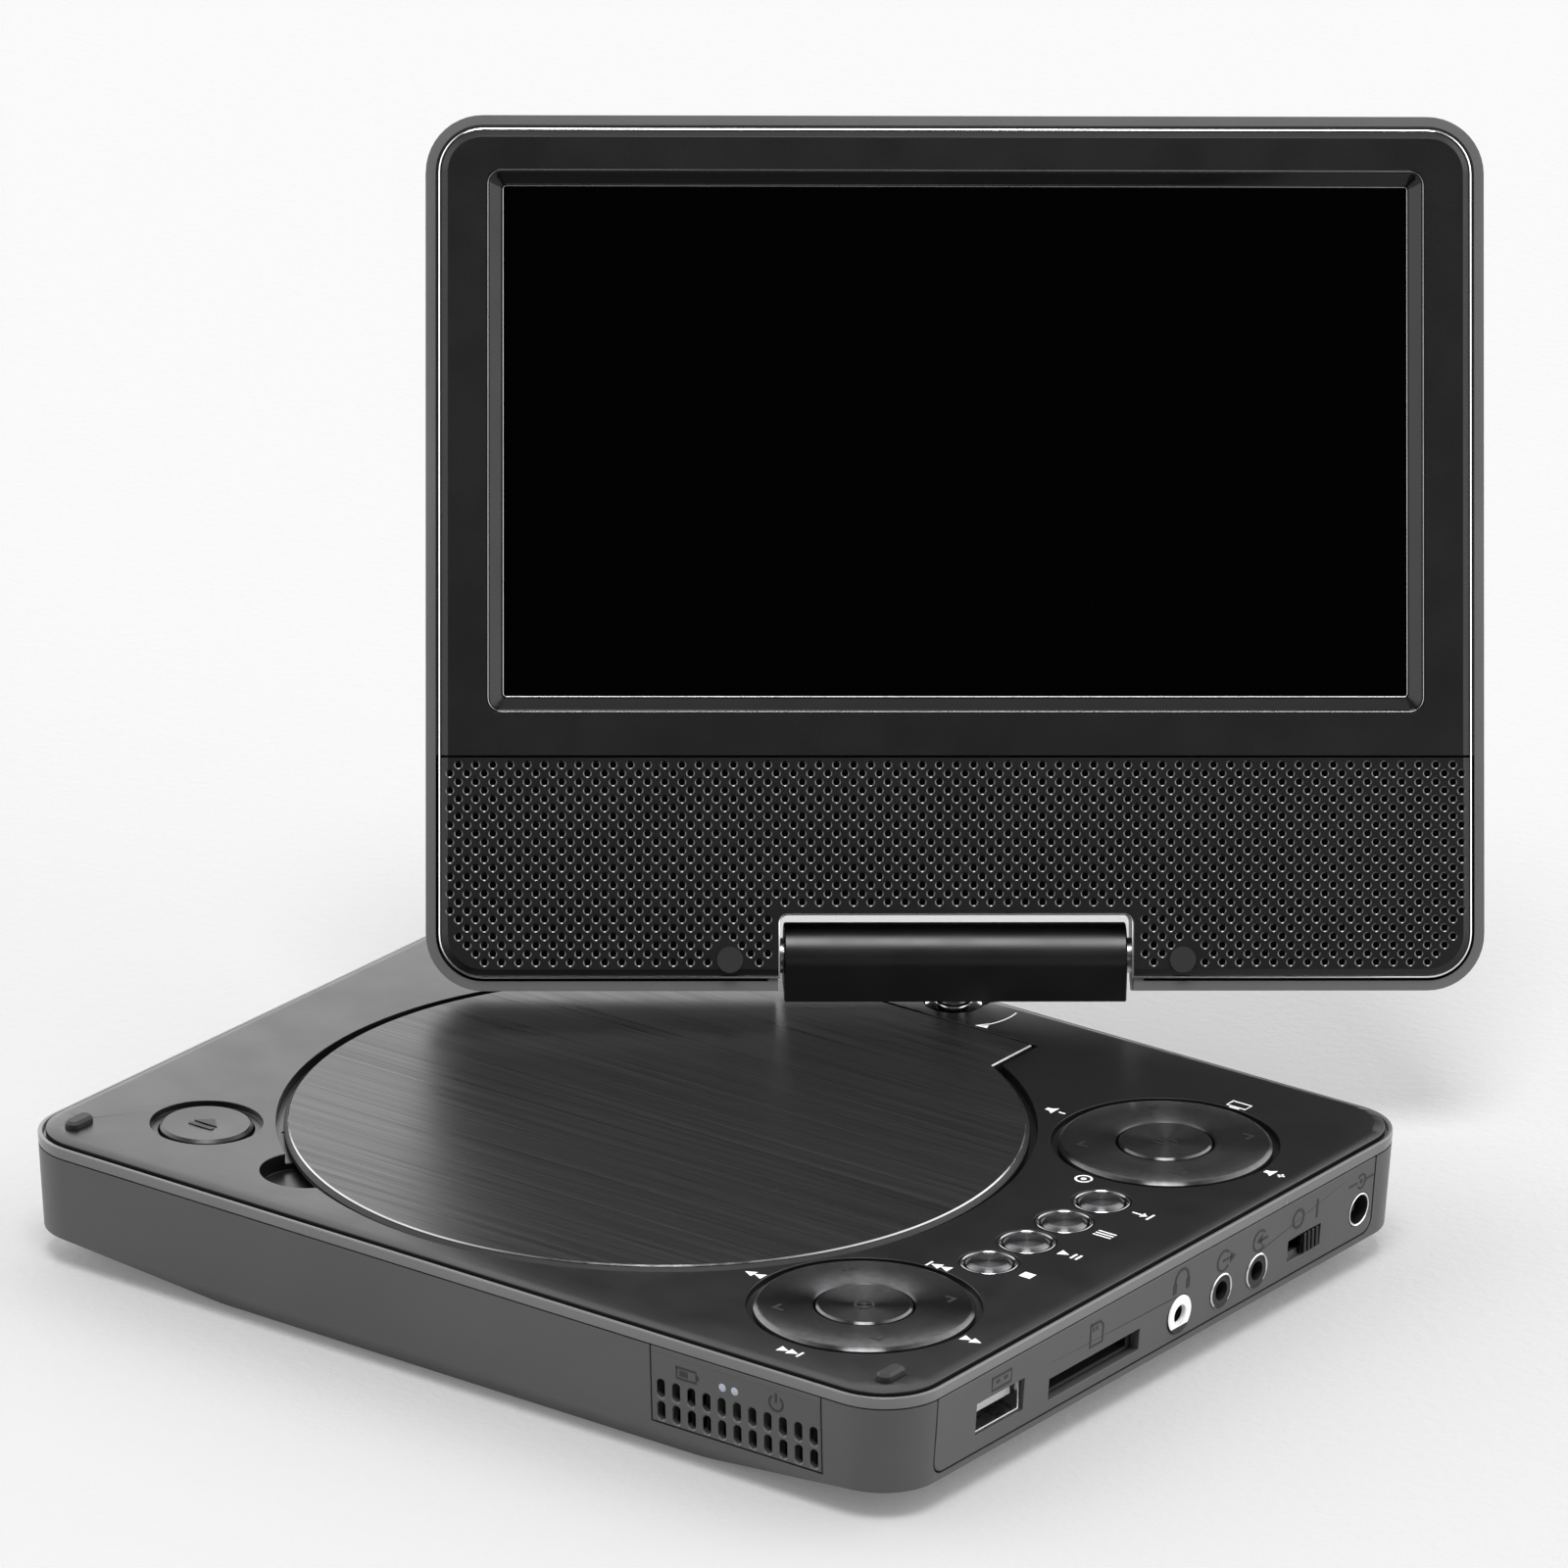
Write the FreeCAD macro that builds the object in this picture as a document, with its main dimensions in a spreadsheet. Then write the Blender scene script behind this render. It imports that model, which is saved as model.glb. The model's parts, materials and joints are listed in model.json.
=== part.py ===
import FreeCAD, Part
import Sketcher
import os

# Portable disc player: base with disc well and controls, and a screen on a swivel-and-tilt hinge.
# Frame: origin on the table under the centre of the base, X to the right, Y to the rear, Z up, millimetres.
# The screen pieces are drawn in their own frame: origin on the tilt axis, X along it, Y up the screen,
# Z out of the display. The hinge barrel's frame has the same origin, with Z upright.

V = FreeCAD.Vector
doc = FreeCAD.newDocument("PortableDiscPlayer")
sheet = doc.addObject("Spreadsheet::Sheet", "Dimensions")

CELLS = {
    "base_width": 196.0, "base_depth": 160.4, "base_corner": 12.0, "wall_draft": 1.0,
    "deck_height": 24.5, "deck_thickness": 2.0, "deck_inset": 3.2, "deck_corner": 9.0,
    "deck_bevel_width": 1.8, "deck_bevel_drop": 0.5, "groove_width": 0.6,
    "rim_drop": 0.9, "seam_drop": 3.2, "seam_gap": 0.15,
    "wall_bottom": 5.5, "belly_height": 0.8, "belly_width": 148.0, "belly_depth": 151.0,
    "belly_corner": 22.0, "shell_wall": 2.2, "shell_floor": 2.8,
    "lid_centre_x": -9.4, "lid_centre_y": -5.4, "lid_radius": 67.0, "lid_thickness": 2.0,
    "lid_gap": 1.4, "lid_proud": 0.3, "tab_width": 66.4, "tab_rear": 64.4,
    "well_radius": 62.5, "well_wall": 1.5, "well_floor": 18.1, "well_ledge": 20.9,
    "lid_axis_y": 61.5, "lid_axis_height": 20.6, "lid_pin_radius": 1.0,
    "hook_x": -60.1, "hook_y": -46.6, "hook_size": 1.6,
    "scoop_x": -44.6, "scoop_y": -62.4, "scoop_radius": 8.2,
    "open_x": -72.1, "open_y": -56.4, "open_recess_radius": 10.2, "open_cap_radius": 8.4,
    "pad_x": 68.6, "pad_rear_y": 42.3, "pad_front_y": -49.6,
    "pad_recess_radius": 20.6, "pad_ring_radius": 19.3, "pad_button_radius": 8.5,
    "key_x": 74.8, "key_first_y": 13.3, "key_pitch": 11.45, "key_radius": 4.15, "key_hole_radius": 5.4,
    "bumper_x": 89.6, "bumper_y": -71.0, "bumper_height": 1.3,
    "pivot_y": 73.2, "axis_above_deck": 9.2, "post_radius": 3.6, "flange_radius": 5.2, "spigot_radius": 2.4,
    "barrel_length": 63.0, "barrel_radius": 6.1, "barrel_foot": 6.8, "barrel_wall": 1.4,
    "shaft_radius": 2.0, "shaft_length": 27.5,
    "screen_width": 194.6, "screen_height": 160.7, "screen_corner": 10.5,
    "screen_below_axis": 6.5, "face_offset": 7.2, "back_offset": 8.3, "back_round": 6.0,
    "rim_width": 1.8, "rim_setback": 1.8, "face_groove": 0.9, "face_bevel": 1.3,
    "notch_width": 65.4, "notch_top": 7.75, "grille_top": 36.5,
    "display_width": 166.0, "display_height": 93.4, "display_centre_y": 94.4,
    "ring_width": 3.2, "swivel_rest": 38.3, "lean_rest": 21.5,
    "panel_front": -68.3, "panel_rear": 66.5, "panel_bottom": 7.0, "panel_inner_x": 95.4,
    "port_height": 11.6, "usb_y": -49.3, "usb_height": 13.1, "card_y": -20.75, "card_height": 11.05,
    "headphone_y": 5.3, "av_out_y": 18.3, "av_in_y": 29.5, "switch_y": 44.6, "switch_height": 11.85,
    "dc_y": 62.3, "jack_bore": 1.8, "board_top": 9.0, "board_thickness": 1.6,
    "vent_left": 45.3, "vent_right": 81.4, "vent_bottom": 7.0,
    "slot_pitch": 3.26, "slot_width": 1.7, "slot_height": 3.6, "slot_first_x": 47.25,
    "slot_upper": 13.5, "slot_lower": 9.2,
}


class Dim:
    """A length together with the spreadsheet formula that drives it."""

    def __init__(self, value, formula=None):
        self.value = float(value)
        self.formula = formula or repr(float(value))
        self.bound = formula is not None

    def join(self, other, sign, result):
        other = as_dim(other)
        bound = self.bound or other.bound
        formula = f"({self.formula} {sign} {other.formula})"
        return Dim(result(self.value, other.value), formula if bound else None)

    def __add__(self, other):
        return self.join(other, "+", lambda a, b: a + b)

    def __radd__(self, other):
        return as_dim(other) + self

    def __sub__(self, other):
        return self.join(other, "-", lambda a, b: a - b)

    def __rsub__(self, other):
        return as_dim(other) - self

    def __mul__(self, other):
        return self.join(other, "*", lambda a, b: a * b)

    def __rmul__(self, other):
        return as_dim(other) * self

    def __truediv__(self, other):
        return self.join(other, "/", lambda a, b: a / b)

    def __neg__(self):
        return 0 - self


def as_dim(value):
    return value if isinstance(value, Dim) else Dim(value)


class Table:
    """Every spreadsheet cell as an attribute."""


D = Table()
for row, (alias, number) in enumerate(CELLS.items(), start=1):
    sheet.set(f"A{row}", alias.replace("_", " "))
    sheet.set(f"B{row}", str(number))
    sheet.setAlias(f"B{row}", alias)
    setattr(D, alias, Dim(number, f"Dimensions.{alias}"))
doc.recompute()

NODES = {}
TO_X = FreeCAD.Rotation(V(0, 1, 0), 90)          # local Z to +X
TO_Y = FreeCAD.Rotation(V(1, 0, 0), -90)         # local Z to +Y
WALL_X = FreeCAD.Rotation(V(1, 1, 1), 120)       # local X, Y, Z to +Y, +Z, +X


def bind(obj, prop, size):
    size = as_dim(size)
    setattr(obj, prop, size.value)
    if size.bound:
        obj.setExpression(prop, size.formula)


def place(obj, at, turn=None):
    at = [as_dim(a) for a in at]
    obj.Placement = FreeCAD.Placement(V(*[a.value for a in at]), turn or FreeCAD.Rotation())
    for letter, size in zip("xyz", at):
        if size.bound:
            obj.setExpression(f"Placement.Base.{letter}", size.formula)
    return obj


def block(name, x, y, z):
    """Box between pairs of X, Y and Z values."""
    obj = doc.addObject("Part::Box", name)
    for prop, (low, high) in zip(("Length", "Width", "Height"), (x, y, z)):
        bind(obj, prop, high - as_dim(low))
    return place(obj, (x[0], y[0], z[0]))


def rod(name, radius, low, high, across, axis="Z"):
    """Cylinder along an axis from low to high; across holds its two other coordinates in order."""
    obj = doc.addObject("Part::Cylinder", name)
    bind(obj, "Radius", radius)
    bind(obj, "Height", high - as_dim(low))
    u, v = across
    if axis == "X":
        return place(obj, (low, u, v), TO_X)
    if axis == "Y":
        return place(obj, (u, low, v), TO_Y)
    return place(obj, (u, v, low))


def fuse(name, *shapes):
    obj = doc.addObject("Part::MultiFuse", name)
    obj.Shapes = list(shapes)
    obj.Refine = True
    return obj


def cut(name, base, *tools):
    obj = doc.addObject("Part::Cut", name)
    obj.Base = base
    obj.Tool = tools[0] if len(tools) == 1 else fuse(name + "_tools", *tools)
    return obj


def common(name, first, second):
    obj = doc.addObject("Part::Common", name)
    obj.Base = first
    obj.Tool = second
    return obj


def group(name, *shapes):
    obj = doc.addObject("Part::Compound", name)
    obj.Links = list(shapes)
    return obj


def body(name):
    return doc.addObject("PartDesign::Body", name)


def origin_plane(owner, role):
    return next(f for f in owner.Origin.OriginFeatures if f.Role == role)


def outline(owner, name, width, depth, radius, height):
    """Rounded rectangle about the body's Z axis, fully constrained, at a height above its XY plane."""
    width, depth, radius = as_dim(width), as_dim(depth), as_dim(radius)
    sk = owner.newObject("Sketcher::SketchObject", name)
    sk.AttachmentSupport = [(origin_plane(owner, "XY_Plane"), "")]
    sk.MapMode = "FlatFace"
    height = as_dim(height)
    sk.AttachmentOffset = FreeCAD.Placement(V(0, 0, height.value), FreeCAD.Rotation())
    if height.bound:
        sk.setExpression("AttachmentOffset.Base.z", height.formula)
    a, b, r = width.value / 2, depth.value / 2, radius.value
    corners = [(a - r, b - r, 0), (r - a, b - r, 90), (r - a, r - b, 180), (a - r, r - b, 270)]
    arcs = []
    for cx, cy, start in corners:
        circle = Part.Circle(V(cx, cy, 0), V(0, 0, 1), r)
        arcs.append(sk.addGeometry(Part.ArcOfCircle(circle, radians(start), radians(start + 90))))
    sides = []
    for i in range(4):
        first = sk.getPoint(arcs[i], 2)
        last = sk.getPoint(arcs[(i + 1) % 4], 1)
        sides.append(sk.addGeometry(Part.LineSegment(first, last)))
    for i in range(4):
        sk.addConstraint(Sketcher.Constraint("Tangent", arcs[i], 2, sides[i], 1))
        sk.addConstraint(Sketcher.Constraint("Tangent", sides[i], 2, arcs[(i + 1) % 4], 1))
    for i in (0, 2):
        sk.addConstraint(Sketcher.Constraint("Horizontal", sides[i]))
        sk.addConstraint(Sketcher.Constraint("Vertical", sides[i + 1]))
    for i in (1, 2, 3):
        sk.addConstraint(Sketcher.Constraint("Equal", arcs[0], arcs[i]))
    sk.addConstraint(Sketcher.Constraint("Symmetric", arcs[0], 3, arcs[2], 3, -1, 1))
    across = sk.addConstraint(Sketcher.Constraint("DistanceX", sides[1], 1, sides[3], 1, width.value))
    along = sk.addConstraint(Sketcher.Constraint("DistanceY", sides[2], 1, sides[0], 1, depth.value))
    curve = sk.addConstraint(Sketcher.Constraint("Radius", arcs[0], r))
    for index, size in ((across, width), (along, depth), (curve, radius)):
        if size.bound:
            sk.setExpression(f"Constraints[{index}]", size.formula)
    return sk


def radians(degrees):
    return degrees * 3.141592653589793 / 180


def prism(name, width, depth, radius, z, at=(0, 0), back_round=None, front_bevel=None):
    """Rounded-rectangle plate from z[0] to z[1], its lower edge rounded or its upper edge bevelled."""
    owner = body(name)
    sk = outline(owner, name + "_outline", width, depth, radius, 0)
    pad = owner.newObject("PartDesign::Pad", name + "_pad")
    pad.Profile = sk
    bind(pad, "Length", z[1] - as_dim(z[0]))
    if back_round is not None or front_bevel is not None:
        doc.recompute()
        level = 0 if back_round is not None else pad.Length.Value
        edges = [
            f"Edge{i}"
            for i, e in enumerate(pad.Shape.Edges, start=1)
            if all(abs(v.Point.z - level) < 1e-6 for v in e.Vertexes)
        ]
        kind = "Fillet" if back_round is not None else "Chamfer"
        edge = owner.newObject("PartDesign::" + kind, name + "_edge")
        edge.Base = (pad, edges)
        if back_round is not None:
            bind(edge, "Radius", back_round)
        else:
            bind(edge, "Size", front_bevel)
    return place(owner, (at[0], at[1], z[0]))


def taper(name, low, high, at=(0, 0)):
    """Ruled loft between two rounded rectangles, each (width, depth, radius, height)."""
    owner = body(name)
    lower = outline(owner, name + "_low", *low)
    upper = outline(owner, name + "_high", *high)
    loft = owner.newObject("PartDesign::AdditiveLoft", name + "_loft")
    loft.Profile = lower
    loft.Sections = [upper]
    loft.Ruled = True
    return place(owner, (at[0], at[1], 0))


def turned(name, profile, at, turn=None):
    """Solid of revolution: a closed profile of (radius, height) points, all heights from 0 up."""
    owner = body(name)
    sk = owner.newObject("Sketcher::SketchObject", name + "_profile")
    sk.AttachmentSupport = [(origin_plane(owner, "XZ_Plane"), "")]
    sk.MapMode = "FlatFace"
    points = [(as_dim(r), as_dim(h)) for r, h in profile]
    count = len(points)
    for i in range(count):
        (r0, h0), (r1, h1) = points[i], points[(i + 1) % count]
        sk.addGeometry(Part.LineSegment(V(r0.value, h0.value, 0), V(r1.value, h1.value, 0)))
    for i in range(count):
        sk.addConstraint(Sketcher.Constraint("Coincident", i, 2, (i + 1) % count, 1))
    for i, (r, h) in enumerate(points):
        for kind, size, axis in (("DistanceX", r, -2), ("DistanceY", h, -1)):
            if size.value == 0 and not size.bound:
                sk.addConstraint(Sketcher.Constraint("PointOnObject", i, 1, axis))
                continue
            index = sk.addConstraint(Sketcher.Constraint(kind, i, 1, size.value))
            if size.bound:
                sk.setExpression(f"Constraints[{index}]", size.formula)
    revolution = owner.newObject("PartDesign::Revolution", name + "_turn")
    revolution.Profile = sk
    revolution.ReferenceAxis = (sk, ["V_Axis"])
    revolution.Angle = 360
    return place(owner, at, turn)


def node(name, obj):
    """Name a finished sub-part, which is written to its own file."""
    obj.Label = name
    NODES[name] = obj
    return obj


# ---------------------------------------------------------------- base housing
half_width = D.base_width / 2
half_depth = D.base_depth / 2
rim_top = D.deck_height - D.rim_drop
seam = D.deck_height - D.seam_drop
deck_under = D.deck_height - D.deck_thickness
lower_width = D.base_width - 2 * D.wall_draft
lower_depth = D.base_depth - 2 * D.wall_draft
panel_width = D.base_width - 2 * (D.deck_inset - D.deck_bevel_width)
panel_depth = D.base_depth - 2 * (D.deck_inset - D.deck_bevel_width)
panel_corner = D.deck_corner + D.deck_bevel_width

wall = taper("wall_block", (lower_width, lower_depth, D.base_corner - D.wall_draft, D.wall_bottom),
             (D.base_width, D.base_depth, D.base_corner, rim_top))
belly = taper("belly_block", (D.belly_width, D.belly_depth, D.belly_corner, D.belly_height),
              (lower_width, lower_depth, D.base_corner - D.wall_draft, D.wall_bottom))
above_seam = block("above_seam", (-120, 120), (-100, 100), (seam + D.seam_gap, 40))
below_seam = block("below_seam", (-120, 120), (-100, 100), (0, seam))

groove_edge = prism("groove_opening", panel_width + 2 * D.groove_width, panel_depth + 2 * D.groove_width,
                    panel_corner + D.groove_width, (deck_under - 0.1, 30))
ledge_edge = prism("ledge_opening", D.base_width - 5.6, D.base_depth - 5.6, D.deck_corner, (15, 30))
rim_ring = common("rim_block", wall, above_seam)
node("base_trim_frame", cut("base_trim_frame_cut", rim_ring, groove_edge, ledge_edge))

SCREWS = [(-60, -60), (60, -66), (-66, 60), (60, 66)]
FEET = [(-52, -62), (52, -62), (-52, 62), (52, 62)]
cavity = taper("shell_cavity", (D.belly_width - 8, D.belly_depth - 6, D.belly_corner - 3, D.shell_floor),
               (lower_width - 5, lower_depth - 2 * D.shell_wall, 9.0, 7.4))
upper_cavity = prism("upper_cavity", lower_width - 2 * D.shell_wall, lower_depth - 2 * D.shell_wall, 9.0,
                     (7.4, 30))
panel_y = (D.panel_front + D.panel_rear) / 2
panel_span = D.panel_rear - D.panel_front
side_window = place(prism("side_window", panel_span + 0.7, 30, 2.8, (0, 8)),
                    (94, panel_y, D.panel_bottom - 0.35 + 15), WALL_X)
vent_span = D.vent_right - D.vent_left
front_window = block("front_window", (D.vent_left - 0.3, D.vent_right + 0.3), (-90, -70),
                     (D.vent_bottom - 0.3, 30))
shell = fuse("shell_solid", common("lower_wall", wall, below_seam), belly)
shell_holes = [cavity, upper_cavity, side_window, front_window]
bosses = []
for i, (x, y) in enumerate(SCREWS):
    bosses.append(rod(f"screw_boss_{i}", 3.2, 2.6, 7.2, (x, y)))
    shell_holes.append(rod(f"foot_recess_{i}", 5.0, 0.0, 1.6, FEET[i]))
hollow = cut("shell_hollow", shell, *shell_holes)
screw_holes = []
for i, (x, y) in enumerate(SCREWS):
    screw_holes.append(rod(f"screw_seat_{i}", 2.7, 0.0, 1.9, (x, y)))
    screw_holes.append(rod(f"screw_hole_{i}", 1.3, 1.5, 8.0, (x, y)))
node("base_bottom_cover", cut("bottom_cover_drilled", fuse("bottom_cover_bossed", hollow, *bosses),
                              *screw_holes))
node("case_screws", group("case_screw_group", *[
    fuse(f"case_screw_{i}", rod(f"screw_head_{i}", 2.5, 1.0, 1.9, p), rod(f"screw_stem_{i}", 1.3, 1.8, 12, p))
    for i, p in enumerate(SCREWS)
]))
node("rubber_feet", group("rubber_feet_group", *[
    rod(f"rubber_foot_{i}", 5.0, 0.0, 1.6, p) for i, p in enumerate(FEET)
]))

# ---------------------------------------------------------------- deck panel with the disc well
plate = prism("deck_plate", panel_width, panel_depth, panel_corner,
              (deck_under, D.deck_height - D.deck_bevel_drop))
bevel = taper("deck_bevel", (panel_width, panel_depth, panel_corner, D.deck_height - D.deck_bevel_drop),
              (D.base_width - 2 * D.deck_inset, D.base_depth - 2 * D.deck_inset, D.deck_corner,
               D.deck_height))
lid_xy = (D.lid_centre_x, D.lid_centre_y)
lid_seat = D.lid_radius + D.lid_gap
tab_left = D.lid_centre_x - D.tab_width / 2
tab_right = D.lid_centre_x + D.tab_width / 2
opening = rod("lid_opening", lid_seat, deck_under - 1, 40, lid_xy)
tab_opening = block("tab_opening", (tab_left - 1, tab_right + 1), (20, D.tab_rear + 1), (deck_under - 1, 40))
scoop = rod("finger_scoop", D.scoop_radius, D.well_ledge + 0.4, 40, (D.scoop_x, D.scoop_y))
flat = cut("deck_flat", fuse("deck_body", plate, bevel), opening, tab_opening)
ledge = rod("well_flange", lid_seat + 2.5, D.well_ledge, deck_under, lid_xy)
tab_ledge = block("tab_flange", (tab_left - 5, tab_right + 5), (30, D.tab_rear + 3), (D.well_ledge, deck_under))
tub = rod("well_tub", D.well_radius + D.well_wall, D.well_floor - 1.5, deck_under, lid_xy)
ear_bosses = [
    block("ear_boss_left", (-46.6, -43.3), (59, 64), (18.4, deck_under)),
    block("ear_boss_right", (24.5, 27.8), (59, 64), (18.4, deck_under)),
]
scoop_floor = rod("scoop_cup", D.scoop_radius + 1.2, D.well_ledge - 1, deck_under, (D.scoop_x, D.scoop_y))
deck_solid = fuse("deck_solid", flat, ledge, tab_ledge, tub, scoop_floor, *ear_bosses)
pad_spots = {"rear": (D.pad_x, D.pad_rear_y), "front": (D.pad_x, D.pad_front_y)}
key_spots = [(D.key_x, D.key_first_y - D.key_pitch * i) for i in range(4)]
deck_holes = [
    rod("well_bore", D.well_radius, D.well_floor, 40, lid_xy),
    rod("hub_hole", 17.0, 10, 40, lid_xy),
    block("pickup_window", (D.lid_centre_x - 9, D.lid_centre_x + 9), (-67, -15), (10, 20)),
    scoop,
    block("left_ear_slot", (-42.9, -37.4), (56.5, 65.5), (15, 40)),
    block("right_ear_slot", (18.6, 24.1), (56.5, 65.5), (15, 40)),
    rod("lid_pin_bore", D.lid_pin_radius + 0.06, -50, 30, (D.lid_axis_y, D.lid_axis_height), "X"),
    rod("post_recess", D.flange_radius + 0.4, 15, 40, (0, D.pivot_y)),
    block("post_notch", (-(D.flange_radius + 0.4), D.flange_radius + 0.4), (D.pivot_y, 90), (15, 40)),
    rod("open_recess", D.open_recess_radius, D.deck_height - 1.2, 40, (D.open_x, D.open_y)),
    rod("open_hole", D.open_cap_radius + 0.3, 15, 40, (D.open_x, D.open_y)),
    block("hook_slot", (D.hook_x - 1.5, D.hook_x + 1.5), (D.hook_y - 1.5, D.hook_y + 1.5), (15, 40)),
]
for label, (x, y) in pad_spots.items():
    deck_holes.append(rod(f"{label}_pad_recess", D.pad_recess_radius, D.deck_height - 1.4, 40, (x, y)))
    deck_holes.append(rod(f"{label}_pad_hole", 12.0, 15, 40, (x, y)))
for i, (x, y) in enumerate(key_spots):
    deck_holes.append(rod(f"key_recess_{i}", D.key_hole_radius, D.deck_height - 0.5, 40, (x, y)))
    deck_holes.append(rod(f"key_hole_{i}", D.key_radius + 0.25, 15, 40, (x, y)))
for side in (-1, 1):
    spot = (side * D.bumper_x, D.bumper_y)
    deck_holes.append(prism(f"bumper_seat_{side + 1}", 3.0, 6.0, 1.45, (D.deck_height - 1.0, 40), spot))
node("base_top_cover", cut("top_cover_cut", deck_solid, *deck_holes))
node("deck_bumpers", group("deck_bumper_group", *[
    prism(f"bumper_{side + 1}", 3.0, 6.0, 1.45,
          (D.deck_height - 1.0, D.deck_height + D.bumper_height), (side * D.bumper_x, D.bumper_y),
          front_bevel=0.5)
    for side in (-1, 1)
]))

# ---------------------------------------------------------------- disc lid, hinged at its rear tab
lid_top = D.deck_height + D.lid_proud
lid_under = lid_top - D.lid_thickness
lid_disc = turned("lid_disc", [(0, 0), (D.lid_radius, 0), (D.lid_radius, D.lid_thickness - 1.1),
                               (D.lid_radius - 0.7, D.lid_thickness - 0.4), (0, D.lid_thickness - 0.4)],
                  (D.lid_centre_x, D.lid_centre_y, lid_under))
lid_tab = block("lid_tab", (tab_left, tab_right), (30, D.tab_rear), (lid_under, lid_top - 0.4))
lid_web = block("lid_web", (tab_left, tab_right), (0, 40), (lid_under, lid_top - 0.4))
ears = [
    fuse(f"lid_ear_{side}",
         block(f"ear_arm_{side}", (low, low + 3), (D.lid_axis_y - 2.4, D.lid_axis_y + 2.4),
               (D.lid_axis_height, lid_under + 0.2)),
         rod(f"ear_eye_{side}", 2.4, low, low + 3, (D.lid_axis_y, D.lid_axis_height), "X"))
    for side, low in (("left", -41.6), ("right", 19.8))
]
hook = block("lid_hook", (D.hook_x - D.hook_size / 2, D.hook_x + D.hook_size / 2),
             (D.hook_y - D.hook_size / 2, D.hook_y + D.hook_size / 2), (18.6, lid_under + 0.2))
lid_solid = fuse("lid_solid", lid_disc, lid_tab, lid_web, *ears, hook)
lid_bore = rod("lid_eye_bore", D.lid_pin_radius, -50, 30, (D.lid_axis_y, D.lid_axis_height), "X")
node("disc_lid", cut("lid_cut", lid_solid, lid_bore))
trim_disc = rod("trim_disc", D.lid_radius - 0.7, lid_top - 0.4, lid_top, lid_xy)
trim_tab = block("trim_tab", (tab_left, tab_right), (0, D.tab_rear), (lid_top - 0.4, lid_top))
node("lid_brushed_plate", fuse("lid_plate_outline", trim_disc, trim_tab))
node("lid_hinge_pins", group("lid_pin_group", *[
    rod(f"lid_pin_{side}", D.lid_pin_radius, low, high, (D.lid_axis_y, D.lid_axis_height), "X")
    for side, low, high in (("left", -46.4, -38.6), ("right", 19.8, 27.6))
]))

# ---------------------------------------------------------------- buttons and keys
cap_top = D.deck_height - 0.1
open_cap = turned("open_cap", [(0, 0), (D.open_cap_radius, 0), (D.open_cap_radius, 2.0),
                               (D.open_cap_radius - 0.6, 2.5), (0, 2.3)],
                  (D.open_x, D.open_y, cap_top - 2.5))
open_stem = rod("open_stem", 2.5, 17.0, cap_top - 2.4, (D.open_x, D.open_y))
node("open_button", fuse("open_button_solid", open_cap, open_stem))
latch_bar = block("latch_bar", (-73.5, -65.5), (-57.5, -51.5), (19.4, 20.4))
latch_arm = block("latch_arm", (-68, -60), (-53.5, -47.5), (19.4, 20.4))
latch_slot = rod("latch_clearance", 3.6, 15, 25, (D.open_x, D.open_y))
node("lid_latch", cut("latch_cut", fuse("latch_solid", latch_bar, latch_arm), latch_slot))

for label, (x, y) in pad_spots.items():
    ring_low = D.deck_height - 0.85
    ring = turned(f"{label}_ring", [
        (D.pad_button_radius + 0.35, 0), (D.pad_ring_radius, 0), (D.pad_ring_radius, 0.6),
        (D.pad_ring_radius - 0.9, 1.25), (D.pad_button_radius + 0.8, 1.25),
        (D.pad_button_radius + 0.35, 0.95)], (x, y, ring_low))
    legs = [
        rod(f"{label}_leg_{i}", 1.4, 21.3, ring_low + 0.3, (x + dx, y + dy))
        for i, (dx, dy) in enumerate(((10.3, 0), (0, 10.3), (-10.3, 0), (0, -10.3)))
    ]
    node(f"{label}_pad_ring", fuse(f"{label}_ring_solid", ring, *legs))
    cap = turned(f"{label}_cap", [(0, 0), (D.pad_button_radius, 0), (D.pad_button_radius, 2.0),
                                  (D.pad_button_radius - 0.5, 2.4), (0, 2.2)],
                 (x, y, D.deck_height - 2.0))
    cap_stem = rod(f"{label}_cap_stem", 2.0, 21.3, D.deck_height - 1.8, (x, y))
    node(f"{label}_pad_button", fuse(f"{label}_cap_solid", cap, cap_stem))
for name, (x, y) in zip(("display_button", "source_button", "input_button", "setup_button"), key_spots):
    key = turned(f"{name}_cap", [(0, 0), (D.key_radius, 0), (D.key_radius, 1.7),
                                 (D.key_radius - 0.45, 2.15), (0, 2.3)],
                 (x, y, D.deck_height - 2.0))
    node(name, fuse(f"{name}_solid", key, rod(f"{name}_stem", 1.5, 21.3, D.deck_height - 1.8, (x, y))))

# ---------------------------------------------------------------- boards and power
switch_blocks = []
for label, (x, y) in pad_spots.items():
    for i, (dx, dy) in enumerate(((0, 0), (10.3, 0), (0, 10.3), (-10.3, 0), (0, -10.3))):
        switch_blocks.append(rod(f"{label}_dome_{i}", 2.2, 18.9, 20.4, (x + dx, y + dy)))
for i, (x, y) in enumerate(key_spots):
    switch_blocks.append(rod(f"key_dome_{i}", 2.2, 18.9, 20.4, (x, y)))
key_plate = block("key_plate", (58.5, 91), (-67, 60), (17.4, 19.0))
key_relief = rod("key_relief", 67.0, 15, 22, lid_xy)
node("key_board", fuse("key_board_solid", cut("key_plate_cut", key_plate, key_relief), *switch_blocks))
main_plate = block("main_plate", (50, 94.4), (-70, 70), (D.board_top - D.board_thickness, D.board_top))
main_chips = [
    block("main_chip", (50.5, 63), (-30, -16), (D.board_top - 0.1, 10.6)),
    block("memory_chip", (55, 64), (0, 18), (D.board_top - 0.1, 10.2)),
    block("main_connector", (55, 60), (30, 46), (D.board_top - 0.1, 13.0)),
]
board_screw_relief = [rod(f"board_relief_{i}", 3.6, 0, 20, p) for i, p in enumerate(SCREWS)]
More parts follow.
